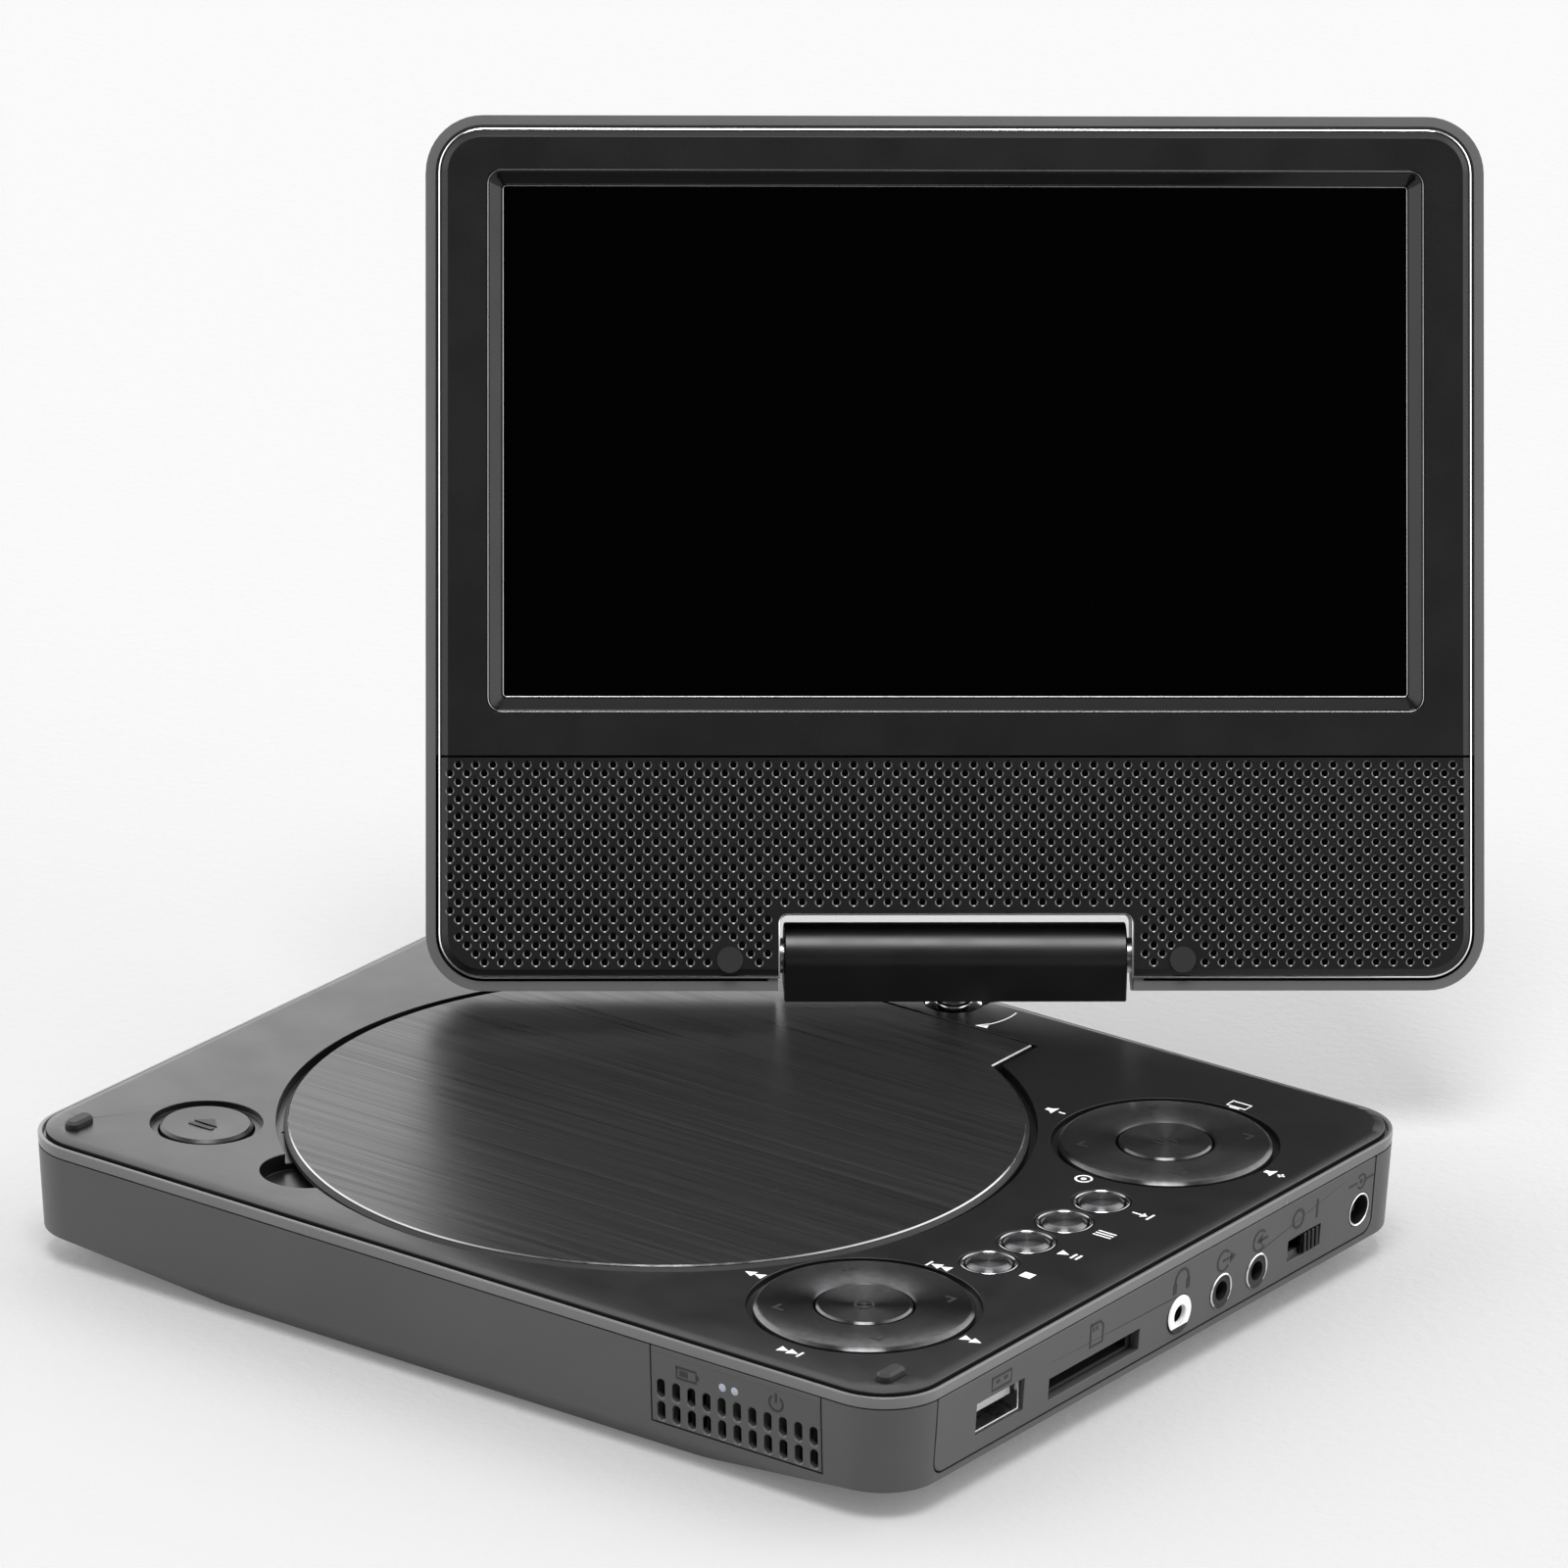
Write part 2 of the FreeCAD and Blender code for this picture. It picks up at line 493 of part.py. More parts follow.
node("main_board", cut("main_board_cut", fuse("main_board_solid", main_plate, *main_chips),
                       *board_screw_relief))
node("battery_cells", group("battery_group", *[
    prism(f"battery_{i}", 32, 56, 3.0, (3.0, 8.6), (x, -38)) for i, x in enumerate((-38, -4, 30))
]))

# ---------------------------------------------------------------- disc drive
node("drive_chassis", cut(
    "chassis_cut", prism("chassis_plate", 84, 104, 6.0, (12.6, 13.8), (D.lid_centre_x, -20)),
    rod("motor_hole", 13.4, 10, 20, lid_xy),
    block("sled_window", (D.lid_centre_x - 26, D.lid_centre_x + 26), (-69, -20), (10, 20))))
DAMPERS = [(-46.4, 26), (27.6, 26), (-46.4, -54), (27.6, -54)]
node("damper_bushes", group("damper_group", *[
    cut(f"damper_{i}", rod(f"damper_outer_{i}", 3.4, 13.8, D.well_floor - 1.5, p),
        rod(f"damper_bore_{i}", 1.2, 13.0, 20, p))
    for i, p in enumerate(DAMPERS)
]))
motor_can = rod("motor_can", 13.0, 9.6, 15.2, lid_xy)
motor_bore = rod("motor_bore", 1.56, 8, 22, lid_xy)
node("spindle_motor", cut("spindle_motor_solid", motor_can, motor_bore))
hub_plate = turned("hub_plate", [(0, 0), (1.5, 0), (1.5, 5.6), (14.0, 5.6), (14.0, 7.2), (7.4, 7.8),
                                 (7.3, 10.2), (5.5, 11.0), (0, 11.0)],
                   (D.lid_centre_x, D.lid_centre_y, 10.0))
node("spindle_hub", hub_plate)
guide_y = (-68.6, -20.4)
node("guide_rods", group("guide_rod_group", *[
    rod(f"guide_rod_{i}", 1.5, guide_y[0], guide_y[1], (D.lid_centre_x + dx, 11.0), "Y")
    for i, dx in enumerate((-20, 20))
]))
sled_beam = block("sled_beam", (D.lid_centre_x - 23, D.lid_centre_x + 23), (-33, -23), (9.2, 13.2))
sled_head = block("sled_head", (D.lid_centre_x - 8, D.lid_centre_x + 8), (-35, -21), (13.0, 16.0))
sled_bores = [rod(f"sled_bore_{i}", 1.56, -80, -10, (D.lid_centre_x + dx, 11.0), "Y")
              for i, dx in enumerate((-20, 20))]
sled_rack = block("sled_rack", (13.4, 15.9), (-33, 25), (9.6, 11.2))
node("pickup_sled", cut("sled_cut", fuse("sled_solid", sled_beam, sled_head, sled_rack), *sled_bores))
node("pickup_lens", rod("lens_disc", 3.2, 16.0, 17.4, (D.lid_centre_x, -28)))
node("sled_motor", rod("sled_motor_can", 5.5, 3.4, 9.0, (22, -4)))
node("drive_gear", cut("drive_gear_cut", rod("drive_gear_disc", 6.0, 9.6, 11.2, (22, -12.6)),
                       rod("drive_gear_bore", 1.06, 8, 12, (22, -12.6))))
node("gear_spindle", rod("gear_spindle_pin", 1.0, 9.0, 12.6, (22, -12.6)))

# ---------------------------------------------------------------- right-hand port panel
port_blank = place(prism("port_blank", panel_span, 30, 2.5, (0, 5)),
                   (D.panel_inner_x, panel_y, D.panel_bottom + 15), WALL_X)
port_plate = common("port_plate", common("port_wall", wall, below_seam), port_blank)
deep = (90, 100)
port_holes = [
    block("usb_window", deep, (D.usb_y - 7.1, D.usb_y + 7.1), (D.usb_height - 3.1, D.usb_height + 3.1)),
    block("card_window", deep, (D.card_y - 13.75, D.card_y + 13.75),
          (D.card_height - 2.05, D.card_height + 2.05)),
    rod("headphone_window", 3.7, 90, 100, (D.headphone_y, D.port_height), "X"),
    rod("av_out_window", 3.35, 90, 100, (D.av_out_y, D.port_height), "X"),
    rod("av_in_window", 3.35, 90, 100, (D.av_in_y, D.port_height), "X"),
    rod("dc_window", 3.3, 90, 100, (D.dc_y, D.port_height + 0.7), "X"),
    block("switch_window", (96.2, 100), (D.switch_y - 5.2, D.switch_y + 5.2),
          (D.switch_height - 2.15, D.switch_height + 2.15)),
    block("switch_slot", deep, (D.switch_y - 3.9, D.switch_y + 3.9),
          (D.switch_height - 1.0, D.switch_height + 1.0)),
]
node("port_panel", cut("port_panel_cut", port_plate, *port_holes))

usb_shell = block("usb_shell", (82, 96.7), (D.usb_y - 6.7, D.usb_y + 6.7),
                  (D.usb_height - 2.9, D.usb_height + 2.9))
usb_cavity = block("usb_cavity", (83, 100), (D.usb_y - 6.25, D.usb_y + 6.25),
                   (D.usb_height - 2.5, D.usb_height + 2.5))
usb_tongue = block("usb_tongue", (82.5, 95.6), (D.usb_y - 5.5, D.usb_y + 5.5),
                   (D.usb_height + 0.2, D.usb_height + 1.9))
usb_feet = block("usb_feet", (83, 93), (D.usb_y - 6.7, D.usb_y - 6.3), (D.board_top, D.usb_height))
node("usb_socket", fuse("usb_socket_solid", cut("usb_shell_cut", usb_shell, usb_cavity), usb_tongue,
                        usb_feet))
card_body = block("card_body", (64, 95.3), (D.card_y - 14.2, D.card_y + 14.2),
                  (D.board_top, D.card_height + 2.2))
card_cavity = block("card_cavity", (66, 99), (D.card_y - 12.4, D.card_y + 12.4),
                    (D.card_height - 1.3, D.card_height + 1.3))
node("card_socket", cut("card_socket_cut", card_body, card_cavity))
for name, y, nose in (("headphone_jack", D.headphone_y, 3.6), ("av_out_jack", D.av_out_y, 3.25),
                      ("av_in_jack", D.av_in_y, 3.25)):
    jack_body = block(f"{name}_body", (81.5, 95.3), (y - 4.2, y + 4.2), (D.board_top, 15.2))
    jack_nose = rod(f"{name}_nose", nose, 95, 97.45, (y, D.port_height), "X")
    jack_bore = rod(f"{name}_bore", D.jack_bore, 83.0, 100, (y, D.port_height), "X")
    node(name, cut(f"{name}_cut", fuse(f"{name}_solid", jack_body, jack_nose), jack_bore))
dc_body = block("dc_body", (82, 95.3), (D.dc_y - 4.3, D.dc_y + 4.2), (D.board_top, 16.8))
dc_nose = rod("dc_nose", 3.2, 95, 97.2, (D.dc_y, D.port_height + 0.7), "X")
dc_bore = rod("dc_bore", 2.75, 86, 100, (D.dc_y, D.port_height + 0.7), "X")
dc_pin = rod("dc_pin", 0.85, 85.5, 95.8, (D.dc_y, D.port_height + 0.7), "X")
node("dc_inlet", fuse("dc_inlet_solid", cut("dc_body_cut", fuse("dc_outer", dc_body, dc_nose), dc_bore),
                      dc_pin))
switch_case = block("switch_case", (88, 94.2), (D.switch_y - 6.5, D.switch_y + 6.5),
                    (D.board_top, 14.6))
switch_track = block("switch_track", (91, 99), (D.switch_y - 4.6, D.switch_y + 4.6),
                     (D.switch_height - 1.2, D.switch_height + 1.2))
node("power_switch_body", cut("switch_body_cut", switch_case, switch_track))
knob_rear = D.switch_y + 4.6
knob_cap = block("knob_cap", (96.3, 97.1), (knob_rear - 5.3, knob_rear),
                 (D.switch_height - 1.9, D.switch_height + 1.9))
knob_ribs = [
    block(f"knob_rib_{i}", (97.0, 97.6), (knob_rear - 4.9 + 1.25 * i, knob_rear - 4.15 + 1.25 * i),
          (D.switch_height - 1.9, D.switch_height + 1.9))
    for i in range(4)
]
knob_stem = block("knob_stem", (91.5, 96.4), (knob_rear - 4.2, knob_rear - 1.2),
                  (D.switch_height - 0.8, D.switch_height + 0.8))
node("power_switch_knob", fuse("knob_solid", knob_cap, knob_stem, *knob_ribs))

# ---------------------------------------------------------------- front vent panel
vent_box = block("vent_box", (D.vent_left, D.vent_right), (-90, -half_depth + 2.6), (D.vent_bottom, 30))
vent_plate = common("vent_plate", common("vent_wall", wall, below_seam), vent_box)
slots = [
    block(f"vent_slot_{i}_{j}", (D.slot_first_x + D.slot_pitch * i - D.slot_width / 2,
                                 D.slot_first_x + D.slot_pitch * i + D.slot_width / 2),
          (-90, -70), (level - D.slot_height / 2, level + D.slot_height / 2))
    for i in range(11)
    for j, level in enumerate((D.slot_upper, D.slot_lower))
]
node("front_vent", cut("front_vent_cut", vent_plate, *slots))

# ---------------------------------------------------------------- swivel hinge
bearing_plate = block("bearing_strip", (-15, 15), (60.2, 76.6), (17.6, 19.0))
bearing_bore = rod("bearing_bore", D.spigot_radius + 0.06, 15, 22, (0, D.pivot_y))
bearing_posts = [rod(f"bearing_post_{i}", 2.4, 19.0, D.well_ledge, (x, 62.8)) for i, x in enumerate((-11, 11))]
node("swivel_bearing_plate", cut("bearing_cut", fuse("bearing_solid", bearing_plate, *bearing_posts),
                                 bearing_bore))

SWIVEL = FreeCAD.Rotation(V(0, 0, 1), D.swivel_rest.value)
LEAN = FreeCAD.Rotation(V(1, 0, 0), 90 - D.lean_rest.value)
axis_height = D.deck_height + D.axis_above_deck
AXIS_POINT = (0, D.pivot_y, axis_height)


def on_swivel(name, obj):
    """Place a piece drawn in the barrel's frame; bodies already hold their own offsets."""
    return node(name, carry(name, obj, SWIVEL))


def on_screen(name, obj):
    """Place a piece drawn in the screen's frame."""
    return node(name, carry(name, obj, SWIVEL.multiply(LEAN)))


def carry(name, obj, turn):
    carrier = doc.addObject("Part::Compound", name + "_placed")
    carrier.Links = [obj]
    return place(carrier, AXIS_POINT, turn)


foot = -D.barrel_foot
half_barrel = D.barrel_length / 2
post_low = 14.5 - axis_height
post_height = D.axis_above_deck + 10.0 - D.barrel_foot + D.barrel_wall
post_shape = turned("post_shape", [
    (0, 0), (D.spigot_radius, 0), (D.spigot_radius, 4.55), (D.post_radius, 4.55), (D.post_radius, 8.7),
    (D.flange_radius, 8.7), (D.flange_radius, 9.7), (D.post_radius + 0.5, 10.15), (D.post_radius, 10.15),
    (D.post_radius, post_height), (0, post_height)], (0, 0, post_low))
on_swivel("swivel_post", post_shape)
nut_ring = cut("nut_ring", rod("nut_outer", 3.5, post_low + 0.4, post_low + 3.05, (0, 0)),
               rod("nut_bore", D.spigot_radius, post_low, post_low + 3.5, (0, 0)))
on_swivel("swivel_nut", nut_ring)

outer_barrel = fuse("barrel_outer",
                    rod("barrel_round", D.barrel_radius, -half_barrel, half_barrel, (0, 0), "X"),
                    block("barrel_base", (-half_barrel, half_barrel), (-D.barrel_radius, D.barrel_radius),
                          (foot, 0)))
inner_radius = D.barrel_radius - D.barrel_wall
inner_barrel = fuse("barrel_inner",
                    rod("barrel_hollow", inner_radius, -(half_barrel - 1.5), half_barrel - 1.5, (0, 0), "X"),
                    block("barrel_well", (-(half_barrel - 1.5), half_barrel - 1.5),
                          (-inner_radius, inner_radius), (foot + 1.4, 0)))
barrel_shell = cut("barrel_shell", outer_barrel, inner_barrel,
                   rod("shaft_ways", D.shaft_radius + 0.15, -40, 40, (0, 0), "X"),
                   rod("post_way", D.post_radius, foot - 2, foot + 2, (0, 0)))
on_swivel("hinge_housing_front", common("housing_front", barrel_shell,
                                        block("front_half", (-50, 50), (-20, 1.5), (-20, 20))))
on_swivel("hinge_housing_rear", common("housing_rear", barrel_shell,
                                       block("rear_half", (-50, 50), (1.5, 20), (-20, 20))))
bracket_floor = block("bracket_floor", (-27, 27), (-4.2, 4.2), (foot + 1.4, foot + 2.6))
bracket_walls = [
    block(f"bracket_wall_{i}", (x, x + 2), (-3.2, 3.2), (foot + 2.0, 3.2)) for i, x in enumerate((-14, 12))
]
bracket_holes = rod("bracket_holes", D.shaft_radius + 0.1, -40, 40, (0, 0), "X")
on_swivel("hinge_bracket", cut("bracket_cut", fuse("bracket_solid", bracket_floor, *bracket_walls),
                               bracket_holes))
on_swivel("friction_sleeves", group("friction_sleeve_group", *[
    cut(f"friction_sleeve_{i}", rod(f"sleeve_outer_{i}", 3.0, low, high, (0, 0), "X"),
        rod(f"sleeve_bore_{i}", D.shaft_radius + 0.04, low - 1, high + 1, (0, 0), "X"))
    for i, (low, high) in enumerate(((-29.5, -14.0), (14.0, 29.5)))
]))

# ---------------------------------------------------------------- screen
screen_y = D.screen_height / 2 - D.screen_below_axis
screen_at = (0, screen_y)
rim_front = D.face_offset - D.rim_setback
half_notch = D.notch_width / 2


def inset_plate(name, inset, z, **edges):
    """Plate with the screen's outline drawn in by an inset."""
    return prism(name, D.screen_width - 2 * inset, D.screen_height - 2 * inset, D.screen_corner - inset, z,
                 screen_at, **edges)


def notch(name, margin):
    """Block that leaves room for the hinge barrel at the bottom of the screen."""
    return prism(name, D.notch_width + 2 * margin, 2 * (D.notch_top + margin), 1.8, (-20, 20))


cover_outer = inset_plate("cover_outer", 0, (-D.back_offset, rim_front), back_round=D.back_round)
cover_inner = inset_plate("cover_inner", D.rim_width, (-(D.back_offset - 1.8), 20),
                          back_round=D.back_round - 1.6)
cover_room = cut("cover_room", cover_inner, notch("notch_wall", D.rim_width))
SCREEN_SCREWS = [(-91, 24), (91, 24), (-91, 138), (91, 138)]
cover_bosses = [rod(f"cover_boss_{i}", 3.0, -7.0, 2.0, p) for i, p in enumerate(SCREEN_SCREWS)]
cover_holes = [rod(f"cover_hole_{i}", 1.2, -7.6, 5.0, p) for i, p in enumerate(SCREEN_SCREWS)]
cover_seats = [rod(f"cover_seat_{i}", 2.4, -12, -7.2, p) for i, p in enumerate(SCREEN_SCREWS)]
cover_shell = fuse("cover_shell", cut("cover_cut", cover_outer, cover_room), *cover_bosses)
on_screen("screen_rear_cover", cut("rear_cover_cut", cover_shell, notch("notch_way", 0),
                                   rod("cover_shaft_way", D.shaft_radius, -60, 60, (0, 0), "X"),
                                   *cover_holes, *cover_seats))
on_screen("screen_screws", group("screen_screw_group", *[
    fuse(f"screen_screw_{i}", rod(f"screen_head_{i}", 2.3, -8.0, -7.2, p),
         rod(f"screen_stem_{i}", 1.2, -7.3, 1.5, p))
    for i, p in enumerate(SCREEN_SCREWS)
]))

face_inset = D.rim_width + D.face_groove
face_low = rim_front + 0.1
face_plate = fuse(
    "face_plate",
    inset_plate("face_base", face_inset, (face_low, face_low + 0.4)),
    taper("face_taper",
          (D.screen_width - 2 * face_inset, D.screen_height - 2 * face_inset, D.screen_corner - face_inset,
           face_low + 0.4),
          (D.screen_width - 2 * (face_inset + D.face_bevel),
           D.screen_height - 2 * (face_inset + D.face_bevel),
           D.screen_corner - face_inset - D.face_bevel, D.face_offset), screen_at))
flange = cut("face_flange", inset_plate("flange_outer", D.rim_width + 0.1, (face_low - 1.6, face_low)),
             inset_plate("flange_inner", 5.0, (-5, 20)), notch("flange_notch", D.rim_width + 0.2))
face = fuse("face_solid", face_plate, flange)
upper = block("upper_half", (-120, 120), (D.grille_top + 0.2, 200), (-20, 20))
lower = block("lower_half", (-120, 120), (-40, D.grille_top - 0.2), (-20, 20))
ring_outer_w = D.display_width + 2 * D.ring_width
ring_outer_h = D.display_height + 2 * D.ring_width
display_at = (0, D.display_centre_y)
on_screen("screen_bezel", cut("bezel_cut", common("bezel_half", face, upper),
                              prism("display_window", ring_outer_w, ring_outer_h, 2.7, (-20, 20),
                                    display_at)))
on_screen("speaker_grille", cut("grille_cut", common("grille_half", face, lower),
                                notch("grille_notch", 0)))
ring_block = prism("ring_block", ring_outer_w, ring_outer_h, 2.7, (5.0, D.face_offset), display_at)
ring_slope = taper("ring_slope",
                   (D.display_width, D.display_height, 0.4, 4.8),
                   (ring_outer_w - 0.9, ring_outer_h - 0.9, 2.2, D.face_offset + 0.1), display_at)
on_screen("display_ring", cut("ring_cut", ring_block, ring_slope))
on_screen("lcd_panel", prism("lcd_glass", D.display_width + 4, D.display_height + 5, 0.5, (3.4, 5.0),
                             display_at))
on_screen("backlight_frame", prism("backlight_box", D.display_width + 6, D.display_height + 7, 1.0,
                                   (-1.4, 3.4), display_at))
board_plate = block("driver_plate", (-70, 70), (60, 120), (-5.4, -4.0))
on_screen("screen_board", fuse("screen_board_solid", board_plate,
                               block("driver_chip", (-20, -6), (80, 94), (-4.1, -2.6)),
                               block("inverter_coil", (30, 50), (66, 76), (-4.1, -1.8))))
on_screen("speakers", group("speaker_group", *[
    fuse(f"speaker_{i}", rod(f"speaker_cone_{i}", 14.5, 1.0, 5.3, (x, 19)),
         rod(f"speaker_magnet_{i}", 8.0, -5.0, 1.1, (x, 19)))
    for i, x in enumerate((-62, 62))
]))
PADS = [(-41.6, -0.75), (41.6, -0.75)]
on_screen("grille_pads", group("grille_pad_group", *[
    rod(f"grille_pad_{i}", 2.4, D.face_offset, D.face_offset + 0.4, p) for i, p in enumerate(PADS)
]))
inner_end = 11.0
shafts = []
for i, side in enumerate((-1, 1)):
    ends = (Dim(-inner_end) - D.shaft_length, Dim(-inner_end)) if side < 0 else \
        (Dim(inner_end), inner_end + D.shaft_length)
    collar_ends = (-(half_notch - 0.1), -(half_barrel + 0.15)) if side < 0 else \
        (half_barrel + 0.15, half_notch - 0.1)
    shafts.append(fuse(f"tilt_shaft_{i}",
                       rod(f"shaft_pin_{i}", D.shaft_radius, *ends, (0, 0), "X"),
                       rod(f"shaft_collar_{i}", 3.3, *collar_ends, (0, 0), "X")))
on_screen("tilt_shafts", group("tilt_shaft_group", *shafts))

# ---------------------------------------------------------------- check and write
doc.recompute()
failed = [o.Name for o in doc.Objects if {"Invalid", "Error"} & set(o.State)]
for name, obj in NODES.items():
    shape = obj.Shape
    if shape.isNull() or not shape.isValid() or not shape.Solids:
        failed.append(name)
if failed:
    raise SystemExit(f"failed: {failed}")
os.makedirs("parts", exist_ok=True)
for name, obj in NODES.items():
    obj.Shape.exportStep(f"parts/{name}.step")
    box = obj.Shape.BoundBox
    print(f"{name}: {len(obj.Shape.Solids)} solids, {obj.Shape.Volume:.0f} mm3, "
          f"x {box.XMin:.1f}..{box.XMax:.1f}, y {box.YMin:.1f}..{box.YMax:.1f}, "
          f"z {box.ZMin:.1f}..{box.ZMax:.1f}")
print(len(NODES), "nodes")
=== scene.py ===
import json
import math
from math import cos, hypot, pi, radians, sin

import bmesh
import bpy
from mathutils import Matrix, Vector
from mathutils.geometry import delaunay_2d_cdt


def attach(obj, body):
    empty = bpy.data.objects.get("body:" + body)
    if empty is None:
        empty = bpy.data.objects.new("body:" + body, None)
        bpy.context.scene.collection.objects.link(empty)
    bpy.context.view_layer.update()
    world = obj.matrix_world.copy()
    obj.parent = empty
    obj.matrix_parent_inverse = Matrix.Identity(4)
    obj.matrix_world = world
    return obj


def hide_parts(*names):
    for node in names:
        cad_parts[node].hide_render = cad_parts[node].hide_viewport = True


# Lengths are in mm and angles in degrees where nothing else is said. MM turns them into metres.
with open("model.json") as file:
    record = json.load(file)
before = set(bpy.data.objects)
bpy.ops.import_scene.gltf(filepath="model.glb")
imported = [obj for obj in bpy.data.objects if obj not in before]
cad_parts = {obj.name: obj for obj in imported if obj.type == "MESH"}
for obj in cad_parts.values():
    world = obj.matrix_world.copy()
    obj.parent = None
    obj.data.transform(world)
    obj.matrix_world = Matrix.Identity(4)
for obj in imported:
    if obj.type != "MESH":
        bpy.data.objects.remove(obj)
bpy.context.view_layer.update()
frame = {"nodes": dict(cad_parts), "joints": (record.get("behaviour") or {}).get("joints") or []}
scene = bpy.context.scene
MM = 0.001

# ------------------------------------------------------------------ frames
DECK = 24.5                                   # height of the deck's flat
DRAFT = 1.0 / 18.1                            # lean of the side walls per mm of height
WALL_FOOT, RIGHT_WALL, FRONT_WALL = 5.5, 97.0, -79.2   # a height, and where the walls stand at it


def mm(*p):
    return Vector(p) * MM


def joint(name):
    return next(j for j in frame["joints"] if j["name"] == name)


def rest_turn(name, axis):
    """Rotation of a hinge from its lower limit to rest."""
    return Matrix.Rotation(radians(-joint(name)["range_deg"][0]), 4, axis)


HINGE = Matrix.Translation(Vector(joint("screen_tilt")["pos_m"]))
SCREEN = HINGE @ rest_turn("screen_swivel", "Z") @ rest_turn("screen_tilt", "X")


def on_deck(x, y, z=DECK):
    return Matrix.Translation(mm(x, y, z))


def frame_of(origin, across, up):
    """Local X along across, Y along up, Z out of the surface."""
    x, y = Vector(across).normalized(), Vector(up).normalized()
    turn = Matrix((x, y, x.cross(y))).transposed().to_4x4()
    return Matrix.Translation(mm(*origin)) @ turn


def on_right_wall(y, z):
    return frame_of((RIGHT_WALL + (z - WALL_FOOT) * DRAFT, y, z), (0, 1, 0), (DRAFT, 0, 1))


def on_front_wall(x, z):
    return frame_of((x, FRONT_WALL - (z - WALL_FOOT) * DRAFT, z), (1, 0, 0), (0, -DRAFT, 1))


# ------------------------------------------------------------------ materials
class Look:
    """A procedural material: a Principled shader with its constants on its own sockets."""

    def __init__(self, name, color, rough, metallic=0.0, **constants):
        self.mat = bpy.data.materials.new(name)
        self.mat.use_nodes = True
        self.nodes, self.links = self.mat.node_tree.nodes, self.mat.node_tree.links
        self.shader = self.nodes["Principled BSDF"]
        self.color, self.rough = color, rough
        self.set(self.shader, Base_Color=(*color, 1), Roughness=rough, Metallic=metallic, **constants)

    @staticmethod
    def set(node, **values):
        for key, value in values.items():
            node.inputs[key.replace("_", " ")].default_value = value

    def noise(self, scale, detail=2.0, roughness=0.5, stretch=(1, 1, 1)):
        source = self.nodes.new("ShaderNodeTexCoord")
        mapping = self.nodes.new("ShaderNodeMapping")
        noise = self.nodes.new("ShaderNodeTexNoise")
        self.set(mapping, Scale=stretch)
        self.set(noise, Scale=scale, Detail=detail, Roughness=roughness)
        self.links.new(source.outputs["Object"], mapping.inputs["Vector"])
        self.links.new(mapping.outputs["Vector"], noise.inputs["Vector"])
        return noise.outputs["Fac"]

    def vary_rough(self, fac, amount):
        spread = self.nodes.new("ShaderNodeMapRange")
        self.set(spread, From_Min=0.3, From_Max=0.7,
                 To_Min=self.rough - amount, To_Max=self.rough + amount)
        self.links.new(fac, spread.inputs["Value"])
        self.links.new(spread.outputs["Result"], self.shader.inputs["Roughness"])

    def vary_color(self, fac, low, high):
        ramp = self.nodes.new("ShaderNodeValToRGB")
        for stop, position, share in zip(ramp.color_ramp.elements, (0.3, 0.7), (low, high)):
            stop.position = position
            stop.color = (*[c * share for c in self.color], 1)
        self.links.new(fac, ramp.inputs["Fac"])
        self.links.new(ramp.outputs["Color"], self.shader.inputs["Base Color"])

    def bump(self, fac, strength, depth):
        relief = self.nodes.new("ShaderNodeBump")
        self.set(relief, Strength=strength, Distance=depth * MM)
        self.links.new(fac, relief.inputs["Height"])
        self.links.new(relief.outputs["Normal"], self.shader.inputs["Normal"])

    def radial(self):
        """Turned metal: the brushing runs round the object's own Z axis."""
        tangent = self.nodes.new("ShaderNodeTangent")
        tangent.direction_type, tangent.axis = "RADIAL", "Z"
        self.links.new(tangent.outputs["Tangent"], self.shader.inputs["Tangent"])


def moulded(name, color, rough, depth=0.02, grain=2600, strength=0.5, **constants):
    """Moulded plastic: spark-eroded grain, faint flow colour and gloss variation."""
    look = Look(name, color, rough, **constants)
    look.bump(look.noise(grain, 2.0, 0.6), strength, depth)
    look.vary_rough(look.noise(90, 3.0), 0.04)
    look.vary_color(look.noise(30, 4.0), 0.94, 1.07)
    return look.mat


def metal(name, color, rough, scratch=900):
    look = Look(name, color, rough, 1.0)
    look.vary_rough(look.noise(scratch, 3.0), 0.06)
    look.vary_color(look.noise(120, 3.0), 0.92, 1.06)
    return look.mat


def spun_metal(name, color, rough, grain, low, high):
    """Turned metal with the highlight drawn out along the radius into wedges."""
    look = Look(name, color, rough, 0.95, Anisotropic=0.92, Anisotropic_Rotation=0.25)
    look.radial()
    look.vary_color(look.noise(grain, 3.0), low, high)
    return look.mat


CASE = moulded("case_plastic", (0.068, 0.068, 0.069), 0.42, depth=0.012, grain=3000, strength=0.35,
               Specular_IOR_Level=0.35)
# lighter copy of the case plastic: painted sheen for rims and edges
RIM_PAINTED_SHEEN = moulded("rim_plastic_painted_sheen", (0.13, 0.13, 0.131), 0.24, depth=0.006, grain=3000, strength=0.25)
DECK_BLACK = moulded("deck_plastic", (0.0045, 0.0045, 0.0046), 0.34, depth=0.03, grain=2300,
                     strength=0.55)
BEZEL_BLACK = moulded("bezel_plastic", (0.0065, 0.0065, 0.0067), 0.42, depth=0.04, grain=2600,
                      strength=0.8, Specular_IOR_Level=0.32)
BARREL_BLACK = moulded("barrel_plastic", (0.006, 0.006, 0.0062), 0.34, depth=0.01, grain=2600,
                       strength=0.4)
INNER_BLACK = moulded("inner_plastic", (0.004, 0.004, 0.004), 0.6, depth=0.02)
GLOSS_BLACK = moulded("gloss_plastic", (0.004, 0.004, 0.0042), 0.12, depth=0.002, grain=500,
                      strength=0.15, Specular_IOR_Level=0.28)
RUBBER = moulded("rubber", (0.012, 0.012, 0.012), 0.62, depth=0.03, grain=1800, strength=0.8)
LENS_GLASS = moulded("clear_lens", (0.35, 0.38, 0.45), 0.08, depth=0.001)
